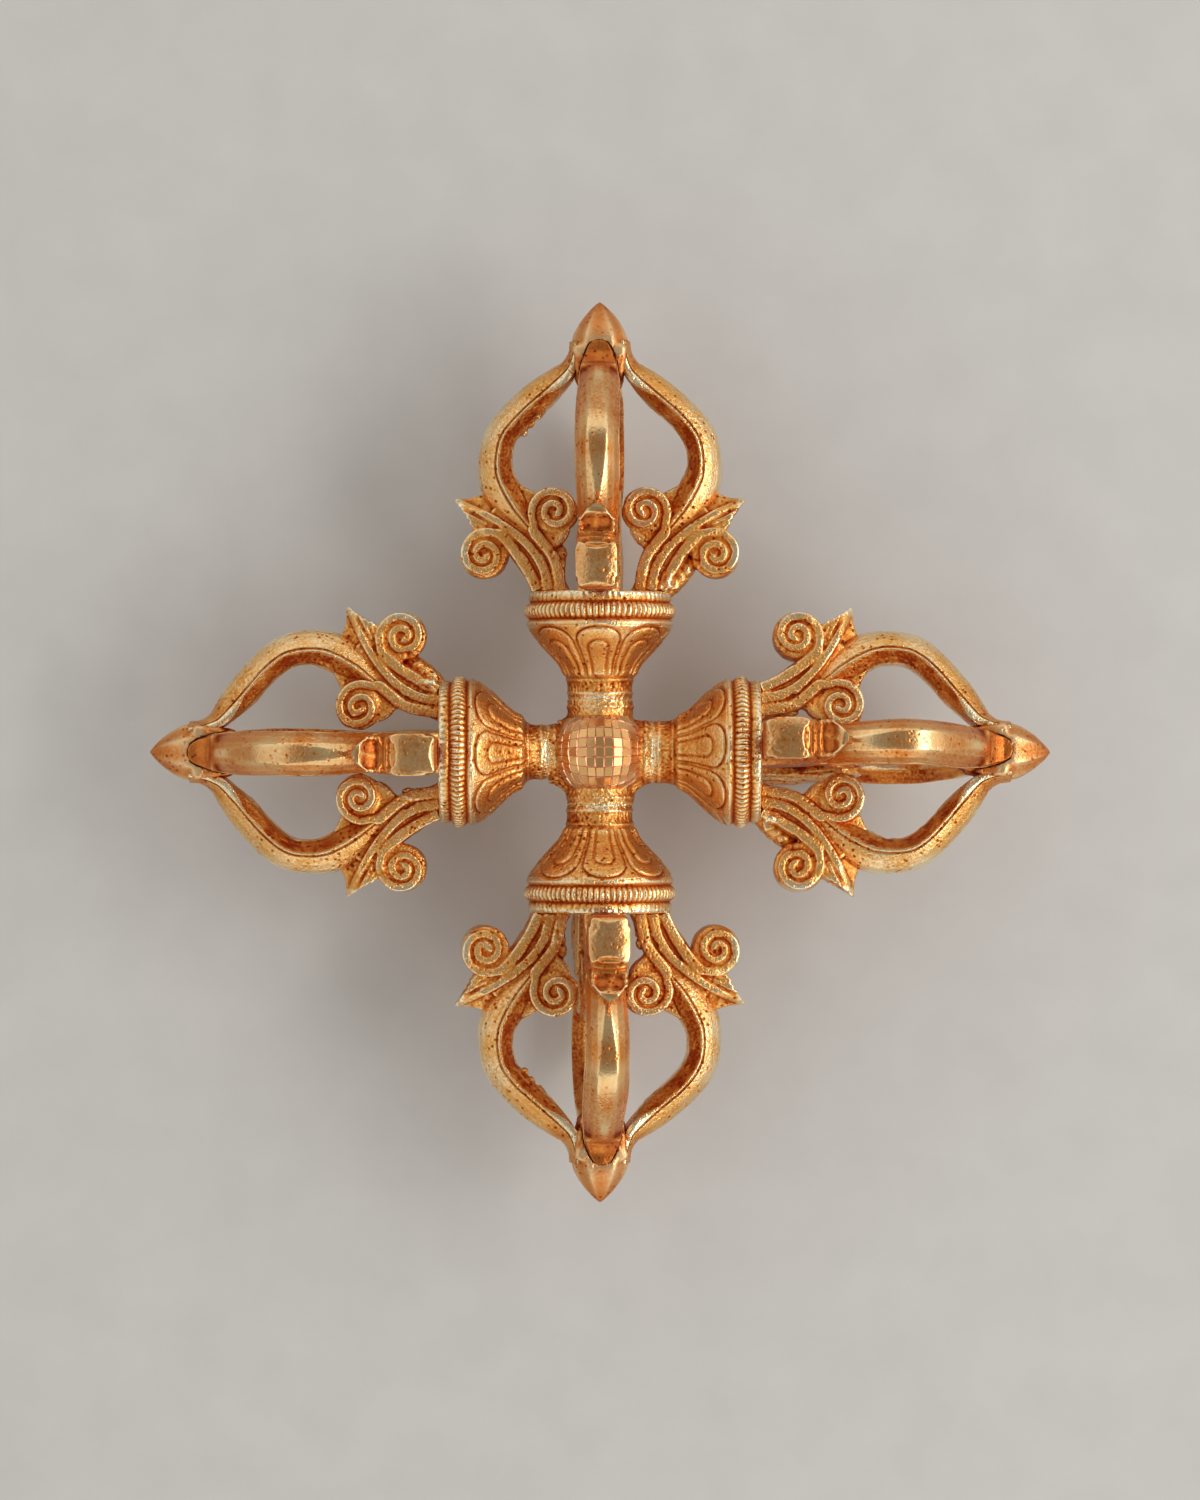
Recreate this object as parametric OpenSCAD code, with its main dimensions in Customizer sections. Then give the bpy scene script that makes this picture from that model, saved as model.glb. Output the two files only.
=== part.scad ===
// Crossed vajra: four lotus-based arms on an engraved ball, each arm a cage of four prongs
// round a centre prong that ends in a four-sided tip.
// Millimetres. The hub's centre is the origin, the arms lie along X and Y, +Z faces the viewer.
// One arm is drawn along +X: u runs out from the hub, w runs out from the top of the lotus
// base, v runs out from the arm's axis.

/* [Overall] */
// Distance from the hub's centre to the point of a tip
arm_reach = 75; // [72:0.5:80]
// Height of the worn flats on the front and rear leaves above the arms' plane
rest_height = 23.6; // [23.2:0.1:23.9]
// Turn of each arm about its own axis: east, north, west, south
arm_turn = [-6, -1.5, -1, -4]; // [-6:0.5:6]

/* [Hub] */
// Radius of the engraved ball
ball_r = 8; // [7.4:0.1:8.2]
// Radius of the necks
neck_r = 5.2; // [4.8:0.1:5.4]
// Length of the neck stubs that stand out past the ball
stub_len = 0.8; // [0.6:0.1:1.4]
// Radius of the fillets in the corners between the necks
corner_fillet = 2.8; // [1.6:0.1:3.2]
// Height of those fillets
corner_h = 7; // [4:0.5:8.4]

/* [Lotus base] */
// Length of the plain neck below the petals
neck_len = 3.6; // [3:0.1:4.6]
// Radius of the two collars on that neck
collar_r = 0.55; // [0.3:0.05:0.7]
// Length of the flaring cup of petals
cup_len = 8.6; // [7.5:0.1:10]
// Radius of the cup where the petals end
cup_r = 12; // [11.6:0.1:12.6]
// Number of petals
petals = 8; // [6:1:10]
// Height of a petal above the cup
petal_h = 0.5; // [0.2:0.05:0.8]
// Width of the groove between two petals
petal_gap = 0.7; // [0.4:0.1:1.2]
// Width of the cove above the petals
cove_w = 1.2; // [0.8:0.1:1.8]
// Width of the beaded ring
bead_w = 2.5; // [2:0.1:3]
// Radius of the beaded ring
bead_r = 12.7; // [12.5:0.1:13.2]
// Width of the upper band
band_w = 2; // [1.5:0.1:2.6]
// Radius of the upper band, which is the top face
band_r = 11.9; // [11.8:0.1:12.2]

/* [Prong] */
// Width of a prong across its two side edges
shaft_w = 7.4; // [6.8:0.1:7.8]
// Depth of a prong from its outer ridge to its inner face
shaft_d = 5.7; // [5.2:0.1:6.2]
// Distance of the crown from the top of the lotus base
crown_at = 22.3; // [21.5:0.1:23.5]
// Distance of the crown's ridge from the arm's axis
crown_v = 20.25; // [19.8:0.05:20.8]
// Width of the end that lies on the tip
end_w = 6.4; // [5.8:0.1:6.6]
// Thickness of that end
end_d = 1.7; // [1.4:0.1:2]
// Width of the stem
stem_w = 6.4; // [5.6:0.1:6.6]
// Depth of the foot, measured from the arm's axis outwards
foot_d = 5.4; // [5:0.1:6]
// Distance of the foot from the edge of the upper band
foot_inset = 0.9; // [0.8:0.1:1.4]
// Distance of the outer volute's centre from the top of the lotus base
outer_along = 6.1; // [5.6:0.1:6.8]
// Distance of the outer volute's centre from the arm's axis
outer_out = 19.3; // [18.6:0.1:19.6]
// Radius of the outer volute
outer_r = 4; // [3.6:0.1:4.3]
// Width of the outer volute
outer_w = 7; // [6.4:0.1:7.4]
// Distance of the inner volute's centre from the top of the lotus base
inner_along = 13.4; // [12.6:0.1:13.8]
// Radius of the inner volute
inner_r = 3.8; // [3.4:0.1:3.9]
// Width of the inner volute
inner_w = 6.6; // [6:0.1:6.8]
// Gap left at the arm's axis between the inner volutes of neighbouring prongs
volute_gap = 0.4; // [0.3:0.1:0.8]
// Distance of the leaf's point from the top of the lotus base
leaf_along = 15.5; // [14.8:0.1:16]
// How much closer to the lotus base the outer volute and leaf sit on the front and rear prongs
worn_drop = 1.9; // [1.4:0.1:2]
// Height worn off the points of the front and rear leaves
leaf_wear = 0.6; // [0.3:0.1:0.9]
// Width of the leaf
leaf_w = 5.7; // [5:0.1:6.2]

/* [Centre prong and tip] */
// Width of the centre prong's bar
bar_w = 4.2; // [3.6:0.1:4.8]
// Distance from the prongs' ends to the point of the tip
tip_len = 6.7; // [6:0.1:8]
// Width of the tip where it is widest
tip_w = 9.2; // [8.8:0.1:9.6]
// Length over which the bar swells into the tip
swell_len = 8.2; // [7:0.1:9]
// Metal left between the seats of two neighbouring prongs
seat_post = 0.2; // [0.15:0.05:0.4]

/* [Joinery] */
// Radius of the tenon that holds an arm in the hub
arm_tenon_r = 3.2; // [2.6:0.1:3.4]
// Length of that tenon
arm_tenon_len = 4.2; // [3.4:0.1:4.4]
// Radius of the tenon that holds a centre prong in its lotus base
bar_tenon_r = 1.7; // [1.4:0.1:1.9]
// Length of that tenon
bar_tenon_len = 7; // [5:0.5:8]
// Radius of the peg under a prong's foot
peg_r = 1.3; // [1:0.1:1.5]
// Length of that peg
peg_len = 3.2; // [2.4:0.1:4]
// Gap around tenons, pegs and seated ends
fit_gap = 0.05; // [0.03:0.01:0.1]
// Gap past the end of a tenon or peg
end_gap = 0.3; // [0.2:0.1:0.6]

/* [Hidden] */
$fn = 64;
hub_seat = ball_r + stub_len;
cup_at = hub_seat + neck_len;
cove_at = cup_at + cup_len;
bead_at = cove_at + cove_w;
band_at = bead_at + bead_w;
lotus_top = band_at + band_w;
prong_len = arm_reach - tip_len - lotus_top;
foot_out = band_r - foot_inset;
foot_in = foot_out - foot_d;
peg_v = foot_out - foot_d / 2;
outer_at = [outer_along, outer_out];
inner_at = [inner_along, inner_w / 2 + volute_gap + inner_r];
leaf_at = [leaf_along, rest_height + leaf_wear];
drop = [worn_drop, 0];
seat_v = end_w / 2 + seat_post;
mid_crown = crown_v - shaft_d / 2;
end_mid = seat_v + end_d / 2;
lip = 0.3;                      // small chamfers and overlaps
root = 1;                       // length by which a peg or tenon reaches into its own piece
blunt = 0.95;                   // share of the tip's curve that is kept before its blunt point
chamfer = 1.24;                 // width across the tip's edges over its width across the flats
curve_steps = 10;               // steps along a curved outline
rows_between = 3;               // rows of the prong's skin between two stations
collar_places = [0.28, 0.86];   // shares of the neck's length
petal_bend = 0.6;               // share of the cup where a petal's round end begins
petal_end = 0.96;               // share of the cup where it closes

arms = ["east", "north", "west", "south"];
sides = ["front", "right", "rear", "left"];

gilt = [0.86, 0.62, 0.28];
red_gilt = [0.78, 0.46, 0.20];
burnished = [0.90, 0.72, 0.40];

function mix(a, b, t) = a + (b - a) * t;

// Smooth curve through four neighbouring stations, from the second to the third
function through(a, b, c, d, t) = 0.5 * (2 * b + (c - a) * t
    + (2 * a - 5 * b + 4 * c - d) * t * t + (3 * b - a - 3 * c + d) * t * t * t);

function direction(p) = p / norm(p);

// Radius of the cup at a share of its length: a soft S from the neck to the rim
function cup_radius(t) = mix(neck_r, cup_r, 0.6 * t + 0.2 * (1 - cos(180 * t)));

// Half width of the tip at a share of the way from the prongs' ends to its point
function tip_half(t) = tip_w / 2 * (1 - pow(t, 1.8));

// Stations of a prong: [w, v, depth, width]. The rise leaves the stem, the fall comes down to the tip.
function rising(f, g, d, b) = [crown_at * f, mid_crown * g, shaft_d * d, shaft_w * b];
function falling(f, g, d, b) = [mix(crown_at, prong_len, f), mix(end_mid, mid_crown, g),
    mix(end_d, shaft_d, d), mix(end_w, shaft_w, b)];
stations = [
    rising(0.46, 0.68, 1.00, 0.86),
    rising(0.64, 0.86, 1.20, 0.92),
    rising(0.83, 0.98, 1.08, 0.98),
    falling(0.00, 1.000, 1.00, 1.0),
    falling(0.19, 0.935, 0.98, 1.0),
    falling(0.37, 0.725, 0.93, 1.0),
    falling(0.57, 0.390, 0.88, 0.8),
    falling(0.73, 0.130, 0.48, 0.3),
    falling(0.84, 0.038, 0.15, -0.05),
    falling(0.91, 0.014, 0.00, -0.85)
];
last = len(stations) - 1;
rows = concat(
    [for (i = [0:last - 1]) for (k = [0:rows_between - 1])
        through(stations[max(i - 1, 0)], stations[i], stations[i + 1],
            stations[min(i + 2, last)], k / rows_between)],
    [stations[last]]
);

// Section of a prong as shares of its width and depth: roof outside, side edges, narrower inside
half_section = [[0.11, 0.5], [0.5, -0.02], [0.5, -0.12], [0.22, -0.5]];
corners = len(half_section) * 2;
section = concat(half_section,
    [for (i = [len(half_section) - 1:-1:0]) [-half_section[i][0], half_section[i][1]]]);

function heading(i) = let (a = rows[max(i - 1, 0)], b = rows[min(i + 1, len(rows) - 1)])
    direction([b[0] - a[0], b[1] - a[1]]);
function skin_point(i, c) = let (r = rows[i], h = heading(i), out = c[1] * r[2])
    [r[0] - h[1] * out, c[0] * r[3], r[1] + h[0] * out];

// Curved bar of the prong
module shaft() {
    points = [for (i = [0:len(rows) - 1]) for (c = section) skin_point(i, c)];
    walls = [for (i = [0:len(rows) - 2]) for (k = [0:corners - 1])
        let (n = (k + 1) % corners, a = i * corners, b = a + corners)
        each [[a + k, b + n, b + k], [a + k, a + n, b + n]]];
    foot = [[for (k = [corners - 1:-1:0]) k]];
    end = [[for (k = [0:corners - 1]) (len(rows) - 1) * corners + k]];
    polyhedron(points, concat(walls, foot, end), convexity = 6);
}

// A flat shape drawn as [w, v], made as thick as a piece is wide
module slab(thick) {
    rotate([90, 0, 0]) linear_extrude(thick, center = true) children();
}

// Stem that carries both volutes, the leaf and the bar: its edges bend at shares of the way
// from the foot to a volute and from a volute to the bar
module stem(outer, point) {
    slab(stem_w) polygon([
        [0, foot_in],
        [inner_at[0] * 0.3, mix(foot_in, inner_at[1], 0.75)],
        inner_at + inner_r * [-1.2, 0.14],
        inner_at,
        [inner_at[0] + inner_r * 0.8, mix(inner_at[1], mid_crown, 0.42)],
        [stations[2][0], stations[2][1]],
        [point[0], mid_crown + shaft_d * 0.4],
        outer + outer_r * [1, 0.25],
        outer,
        outer - outer_r * [0.4, 0.9],
        [outer[0] * 0.36, mix(foot_out, outer[1], 0.2)],
        [0, foot_out]
    ]);
}

// Pointed leaf; the worn flat is cut level, whatever the arm's own turn
module leaf(outer, point, turn, worn) {
    intersection() {
        slab(leaf_w) polygon([
            outer,
            mix(outer, point, 0.5) + [outer_r * 0.1, 0],
            point,
            [point[0] + shaft_d * 0.2, crown_v],
            [point[0], stations[1][1]]
        ]);
        rotate([-turn, 0, 0]) translate([0, -arm_reach, 0])
            cube([arm_reach, 2 * arm_reach, worn ? rest_height : 2 * rest_height]);
    }
}

// Round-ended end of a prong, and with a gap the pocket that takes it in the tip
module seated_end(from, gap, thick) {
    half = end_w / 2 + gap;
    round_at = prong_len - end_w / 2;
    translate([from, -half, seat_v]) cube([round_at - from, 2 * half, thick]);
    translate([round_at, 0, seat_v]) cylinder(thick, r = half);
}

module prong(turn, worn) {
    outer = worn ? outer_at - drop : outer_at;
    point = worn ? leaf_at - drop : leaf_at;
    union() {
        shaft();
        stem(outer, point);
        leaf(outer, point, turn, worn);
        translate([outer[0], 0, outer[1]]) rotate([90, 0, 0])
            cylinder(outer_w, r = outer_r, center = true);
        translate([inner_at[0], 0, inner_at[1]]) rotate([90, 0, 0])
            cylinder(inner_w, r = inner_r, center = true);
        seated_end(prong_len - end_w / 2 - root, 0, end_d);
        translate([-peg_len, 0, peg_v]) rotate([0, 90, 0]) cylinder(peg_len + root, r = peg_r);
    }
}

// Turned body of a lotus base, drawn as [radius, u] and laid along the arm
module turned() {
    rotate([0, 90, 0]) rotate_extrude() children();
}

function cup_line(grow) = [for (k = [0:curve_steps])
    [cup_radius(k / curve_steps) + grow, cup_at + cup_len * k / curve_steps]];

// One petal's outline seen from outside: it widens with the cup and has a round end
function petal_half(t) = (cup_radius(t) * sin(180 / petals) - petal_gap / 2)
    * (t < petal_bend ? 1 : sqrt(1 - pow((t - petal_bend) / (petal_end - petal_bend), 2)));
function petal_side(side) = [for (k = [0:curve_steps]) let (t = petal_end * k / curve_steps)
    [cup_at + cup_len * t, side * petal_half(t)]];
function backwards(list) = [for (k = [len(list) - 1:-1:0]) list[k]];

module petal() {
    linear_extrude(bead_r) polygon(concat(petal_side(1), backwards(petal_side(-1))));
}

module cup() {
    difference() {
        union() {
            turned() polygon(concat(
                [[0, hub_seat - arm_tenon_len], [arm_tenon_r - lip, hub_seat - arm_tenon_len],
                    [arm_tenon_r, hub_seat - arm_tenon_len + lip], [arm_tenon_r, hub_seat],
                    [neck_r, hub_seat]],
                cup_line(0),
                [[cup_r, bead_at - lip], [bead_r - lip, bead_at], [bead_r, bead_at + lip],
                    [bead_r, band_at - lip], [bead_r - lip, band_at], [band_r, band_at],
                    [band_r, lotus_top - lip], [band_r - lip, lotus_top], [0, lotus_top]]
            ));
            for (f = collar_places) turned() translate([neck_r, hub_seat + neck_len * f]) circle(collar_r);
            intersection() {
                turned() polygon(concat([[root, cup_at]], cup_line(petal_h), [[root, cove_at]]));
                for (k = [0:petals - 1]) rotate([360 / petals * k, 0, 0]) petal();
            }
        }
        translate([lotus_top - bar_tenon_len - end_gap, 0, 0]) rotate([0, 90, 0])
            cylinder(bar_tenon_len + end_gap + root, r = bar_tenon_r + fit_gap);
        for (k = [0:3]) rotate([90 * k, 0, 0]) translate([lotus_top - peg_len - end_gap, 0, peg_v])
            rotate([0, 90, 0]) cylinder(peg_len + end_gap + root, r = peg_r + fit_gap);
    }
}

// Side outline of the centre prong and its tip, drawn as [w, half width]
tip_side = concat(
    [[0, bar_w / 2]],
    [for (k = [0:curve_steps - 1]) let (t = k / curve_steps)
        [prong_len - swell_len * (1 - t), mix(bar_w, tip_w, sin(90 * t)) / 2]],
    [for (k = [0:curve_steps]) let (t = k / curve_steps)
        [mix(prong_len, arm_reach - lotus_top, t), tip_half(blunt * t)]]
);
module tip_slab(grow) {
    slab(2 * tip_w) polygon(concat([for (p = tip_side) [p[0], p[1] * grow]],
        backwards([for (p = tip_side) [p[0], -p[1] * grow]])));
}

module bar_and_tip() {
    difference() {
        union() {
            intersection() {
                tip_slab(1);
                rotate([90, 0, 0]) tip_slab(1);
                rotate([45, 0, 0]) tip_slab(chamfer);
                rotate([-45, 0, 0]) tip_slab(chamfer);
            }
            translate([-bar_tenon_len, 0, 0]) rotate([0, 90, 0])
                cylinder(bar_tenon_len + root, r = bar_tenon_r);
        }
        for (k = [0:3]) rotate([90 * k, 0, 0]) seated_end(crown_at, fit_gap, tip_w);
    }
}

module hub() {
    color(red_gilt) difference() {
        union() {
            sphere(ball_r);
            for (k = [0:3]) rotate([0, 0, 90 * k]) {
                rotate([0, 90, 0]) cylinder(hub_seat, r = neck_r);
                translate([neck_r - lip, neck_r - lip, 0]) linear_extrude(corner_h, center = true)
                    difference() {
                        square(corner_fillet);
                        translate([corner_fillet, corner_fillet]) circle(corner_fillet);
                    }
            }
        }
        for (k = [0:3]) rotate([0, 0, 90 * k]) translate([hub_seat - arm_tenon_len - end_gap, 0, 0])
            rotate([0, 90, 0]) cylinder(arm_tenon_len + end_gap + root, r = arm_tenon_r + fit_gap);
    }
}

// Lays a piece drawn along +X on one arm, with that arm's turn
module on_arm(a) {
    rotate([0, 0, 90 * a]) rotate([arm_turn[a], 0, 0]) children();
}

// Lays a piece drawn from the top of the lotus base, turned by quarters about the arm
module on_lotus(a, quarter) {
    on_arm(a) translate([lotus_top, 0, 0]) rotate([90 * quarter, 0, 0]) children();
}

module lotus_base(a) {
    color(gilt) on_arm(a) cup();
}

module centre_prong(a) {
    color(gilt) on_lotus(a, 0) bar_and_tip();
}

module front_prong(a) {
    color(burnished) on_lotus(a, 0) prong(arm_turn[a], true);
}

module right_prong(a) {
    color(red_gilt) on_lotus(a, 1) prong(arm_turn[a], false);
}

module rear_prong(a) {
    color(red_gilt) on_lotus(a, 2) prong(arm_turn[a], true);
}

module left_prong(a) {
    color(red_gilt) on_lotus(a, 3) prong(arm_turn[a], false);
}

hub();
for (a = [0:3]) {
    lotus_base(a);
    centre_prong(a);
    front_prong(a);
    right_prong(a);
    rear_prong(a);
    left_prong(a);
}
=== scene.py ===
"""Crossed vajra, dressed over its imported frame.

Lengths are in millimetres until a mesh is finished. Along an arm, u runs outwards from the hub's
centre and w from the top face of the lotus base. Across it, v leads away from the arm's axis and t
lies across a prong. A prong is modelled in w, t, v and then laid on its arm.
"""

import logging
import math
import random
from dataclasses import dataclass
from enum import Enum
from typing import Any, Callable, Iterable, Sequence

import bmesh
import bpy
import numpy as np
from mathutils import Matrix, Vector, noise

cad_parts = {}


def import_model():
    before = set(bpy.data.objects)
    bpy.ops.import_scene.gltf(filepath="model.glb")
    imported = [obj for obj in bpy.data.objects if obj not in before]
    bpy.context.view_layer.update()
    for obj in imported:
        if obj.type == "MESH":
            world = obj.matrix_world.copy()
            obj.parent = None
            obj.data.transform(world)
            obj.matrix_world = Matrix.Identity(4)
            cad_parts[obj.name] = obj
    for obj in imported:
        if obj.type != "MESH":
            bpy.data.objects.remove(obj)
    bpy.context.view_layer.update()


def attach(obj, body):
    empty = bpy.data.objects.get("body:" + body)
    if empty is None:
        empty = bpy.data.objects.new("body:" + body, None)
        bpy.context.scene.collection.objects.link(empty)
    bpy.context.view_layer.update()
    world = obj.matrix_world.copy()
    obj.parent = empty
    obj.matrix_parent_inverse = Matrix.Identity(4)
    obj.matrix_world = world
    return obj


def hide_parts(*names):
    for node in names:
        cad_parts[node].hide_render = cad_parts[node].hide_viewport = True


MM = 0.001
REST_HEIGHT = 23.6
LOTUS_TOP = 26.7
HAND_SEED = 7
LOG = logging.getLogger("crossed_vajra")

# Swing and length of each wave of an uneven surface
Waves = Sequence[tuple[float, float]]
HAND_WAVES: Waves = ((0.14, 7.0), (0.04, 1.7))


class Arm(Enum):
    """The four arms, by quarter turns from +X."""

    EAST = 0
    NORTH = 1
    WEST = 2
    SOUTH = 3

    @property
    def lean(self) -> float:
        """Turn of this arm about its own axis, in degrees."""
        return (-6.0, -1.5, -1.0, -4.0)[self.value]

    @property
    def neck(self) -> float:
        """Thickness of this arm's neck, as a share of the usual one."""
        return (1.0, 1.04, 0.88, 1.06)[self.value]

    @property
    def flat(self) -> float:
        """Height of this arm's neck at the hub, as a share of its width."""
        return (0.84, 0.98, 0.84, 0.98)[self.value]

    def place(self) -> Matrix:
        """Frame of the arm, with X outwards from the hub."""
        quarter = Matrix.Rotation(math.radians(90 * self.value), 4, "Z")
        return quarter @ Matrix.Rotation(math.radians(self.lean), 4, "X")

    def node(self, piece: str) -> str:
        """Name of the node that holds a piece of this arm."""
        return f"{piece}_{self.name.lower()}"


class Casting(Enum):
    """The four ways in which a prong left its mould."""

    RUBBED = 0
    CLEAN = 1
    LUMPED = 2
    FLASHED = 3


class Join(Enum):
    """How one closed mesh joins another."""

    ADD = "UNION"
    CUT = "DIFFERENCE"


class Side(Enum):
    """The four prongs round an arm, by quarter turns from the front."""

    FRONT = 0
    RIGHT = 1
    REAR = 2
    LEFT = 3

    def casting(self, arm: Arm) -> Casting:
        """Way in which this prong of an arm left its mould.

        Args:
            arm: arm that the prong belongs to.

        Returns:
            Rubbed for the prongs that the object lies on, else one of the others.
        """
        if self in (Side.FRONT, Side.REAR):
            return Casting.RUBBED
        if arm is Arm.SOUTH:
            return Casting.LUMPED if self is Side.RIGHT else Casting.CLEAN
        if self is Side.RIGHT:
            return Casting.FLASHED
        return Casting.LUMPED if arm is Arm.NORTH else Casting.CLEAN

    def place(self, arm: Arm) -> Matrix:
        """Frame of this prong on an arm, with Z away from the arm's axis."""
        quarter = Matrix.Rotation(math.radians(90 * self.value), 4, "X")
        return arm.place() @ Matrix.Translation((LOTUS_TOP, 0, 0)) @ quarter


def linear(code: str) -> tuple[float, float, float, float]:
    """Turns an sRGB hex colour into linear light.

    Args:
        code: colour as six hex digits after a hash sign.

    Returns:
        Red, green, blue and an alpha of one.
    """
    shares = [int(code[i : i + 2], 16) / 255 for i in (1, 3, 5)]
    red, green, blue = [c / 12.92 if c <= 0.04045 else ((c + 0.055) / 1.055) ** 2.4 for c in shares]
    return red, green, blue, 1.0


def add_node(
    tree: bpy.types.NodeTree,
    kind: str,
    inputs: dict[Any, Any] | None = None,
    stops: Sequence[tuple[float, str]] = (),
    **settings: Any,
) -> bpy.types.Node:
    """Adds a node with its settings and links.

    Args:
        tree: node tree that the node goes into.
        kind: node type, without the ShaderNode that it starts with.
        inputs: value or output socket for each input, by name or number.
        stops: place and hex colour of each stop of a colour ramp.
        **settings: the node's own properties.

    Returns:
        The new node.
    """
    node = tree.nodes.new(f"ShaderNode{kind}")
    for name, value in settings.items():
        setattr(node, name, value)
    for key, value in (inputs or {}).items():
        if isinstance(value, bpy.types.NodeSocket):
            tree.links.new(value, node.inputs[key])
        else:
            node.inputs[key].default_value = value
    for number, (place, code) in enumerate(stops):
        ramp = node.color_ramp.elements
        stop = ramp[number] if number < 2 else ramp.new(place)
        stop.position, stop.color = place, linear(code)
    return node


def new_material(name: str) -> bpy.types.Material:
    """Makes a material whose node tree is empty.

    Args:
        name: name of the material.

    Returns:
        The material.
    """
    material = bpy.data.materials.new(name)
    material.use_nodes = True
    material.node_tree.nodes.clear()
    return material


@dataclass(frozen=True)
class GiltFinish:
    """Fire-gilt copper alloy: a metal whose recesses keep the red of the first, thin gilding.

    The crests are burnished, so they are paler and mirror sharply. The recesses stay as they left
    the
    mould: red-orange, dull and grainy. The relief attribute of a mesh says which is which, and the
    colours also hold painted light: recesses are painted darker as shade, crests paler and yellower
    as a painted highlight.
    """

    name: str
    recess: str
    ground: str
    body: str
    crest: str
    crest_rough: float
    recess_rough: float
    grain: float
    grain_depth: float
    pits: float
    speckle: float

    def material(self) -> bpy.types.Material:
        """Makes the material.

        Returns:
            The material, with one metal shader.
        """
        material = new_material(self.name)
        tree = material.node_tree
        place = add_node(tree, "TexCoord").outputs["Object"]
        relief = add_node(tree, "Attribute", attribute_name="relief").outputs["Fac"]
        # Width in millimetres, detail and roughness of each noise: patches that the burnisher has
        # gone over more or less often; wider fields with more or less of the red first gilding;
        # specks of red and gold, drawn twice as wide as the real ones, which would melt together
        # from here; and the grain of the casting skin, as wide as a grain of the mould's clay
        widths = [(4.5, 3.0, 0.5), (11.0, 1.0, 0.5), (0.5, 2.0, 0.5), (self.grain, 2.0, 0.6)]
        patches, fields, specks, grain = [
            add_node(
                tree,
                "TexNoise",
                {"Vector": place, "Scale": 1 / (width * MM), "Detail": detail, "Roughness": rough},
            ).outputs["Fac"]
            for width, detail, rough in widths
        ]
        worn = add_node(
            tree,
            "MapRange",
            {
                "Value": fields,
                "From Min": 0.38,
                "From Max": 0.62,
                "To Min": self.speckle,
                "To Max": 0.15,
            },
        ).outputs[0]
        specks = add_node(tree, "Math", {0: specks, 1: 0.5}, operation="SUBTRACT").outputs[0]
        shift = add_node(
            tree, "Math", {0: patches, 1: 0.40, 2: -0.20}, operation="MULTIPLY_ADD"
        ).outputs[0]
        shift = add_node(
            tree, "Math", {0: specks, 1: worn, 2: shift}, operation="MULTIPLY_ADD"
        ).outputs[0]
        # Pinholes of the casting, in some places only, where the red first gilding shows
        holes = add_node(
            tree, "TexVoronoi", {"Vector": place, "Scale": 1 / (1.1 * MM)}
        ).outputs["Distance"]
        holes = add_node(
            tree,
            "MapRange",
            {
                "Value": holes,
                "From Min": 0.10,
                "From Max": 0.30,
                "To Min": self.pits,
                "To Max": 0.0,
            },
        ).outputs[0]
        where = add_node(
            tree, "MapRange", {"Value": patches, "From Min": 0.60, "From Max": 0.46}
        ).outputs[0]
        holes = add_node(tree, "Math", {0: holes, 1: where}, operation="MULTIPLY").outputs[0]
        height = add_node(tree, "Math", {0: relief, 1: shift}, operation="ADD").outputs[0]
        height = add_node(
            tree, "Math", {0: holes, 1: -0.5, 2: height}, operation="MULTIPLY_ADD"
        ).outputs[0]
        # Painted shade and highlight: low relief, in hollows and where a mesh marks shade, gets the
        # dark red recess colour and high relief the pale crest colour, over the real red of the
        # hollows' gilding and the burnished crests
        colour = add_node(
            tree,
            "ValToRGB",
            {"Fac": height},
            stops=[(0.16, self.recess), (1.0, self.crest), (0.38, self.ground), (0.60, self.body)],
        ).outputs["Color"]
        rough = add_node(
            tree,
            "MapRange",
            {
                "Value": height,
                "From Min": 0.25,
                "From Max": 0.75,
                "To Min": self.recess_rough,
                "To Max": self.crest_rough,
            },
        ).outputs[0]
        dull = add_node(
            tree,
            "MapRange",
            {"Value": height, "From Min": 0.35, "From Max": 0.80, "To Min": 1.0, "To Max": 0.5},
        ).outputs[0]
        grain = add_node(tree, "Math", {0: grain, 1: dull}, operation="MULTIPLY").outputs[0]
        grain = add_node(tree, "Math", {0: grain, 1: holes}, operation="SUBTRACT").outputs[0]
        skin = add_node(
            tree, "Bump", {"Height": grain, "Strength": 1.0, "Distance": self.grain_depth * MM}
        ).outputs["Normal"]
        metal = add_node(
            tree,
            "BsdfPrincipled",
            {"Base Color": colour, "Metallic": 1.0, "Roughness": rough, "Normal": skin},
        )
        add_node(tree, "OutputMaterial", {"Surface": metal.outputs[0]})
        return material


@dataclass(frozen=True)
class FloorFinish:
    """Matt painted board: a pale ground with a roller's faint mottle, which keeps the shadow."""

    name: str
    light: str
    dark: str

    def material(self) -> bpy.types.Material:
        """Makes the material.

        Returns:
            The material, with one matt shader.
        """
        material = new_material(self.name)
        tree = material.node_tree
        place = add_node(tree, "TexCoord").outputs["Object"]
        mottle = add_node(
            tree, "TexNoise", {"Vector": place, "Scale": 1 / (12 * MM), "Detail": 4.0}
        )
        colour = add_node(
            tree,
            "ValToRGB",
            {"Fac": mottle.outputs["Fac"]},
            stops=[(0.3, self.dark), (0.7, self.light)],
        ).outputs["Color"]
        board = add_node(tree, "BsdfPrincipled", {"Base Color": colour, "Roughness": 0.75})
        add_node(tree, "OutputMaterial", {"Surface": board.outputs[0]})
        return material


# In the cast, burnished and filed finishes, the recess colour is also painted shade and the crest
# colour partly a painted highlight
# Poured in a clay mould, gilt by fire and only brushed: grainy, red in the hollows, pale on ridges
CAST_GILT = GiltFinish(
    name="Fire-gilt cast copper",
    recess="#B04618",
    ground="#DC8838",
    body="#F5B868",
    crest="#FFEFC8",
    crest_rough=0.20,
    recess_rough=0.44,
    grain=0.38,
    grain_depth=0.22,
    pits=0.9,
    speckle=0.95,
)
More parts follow.
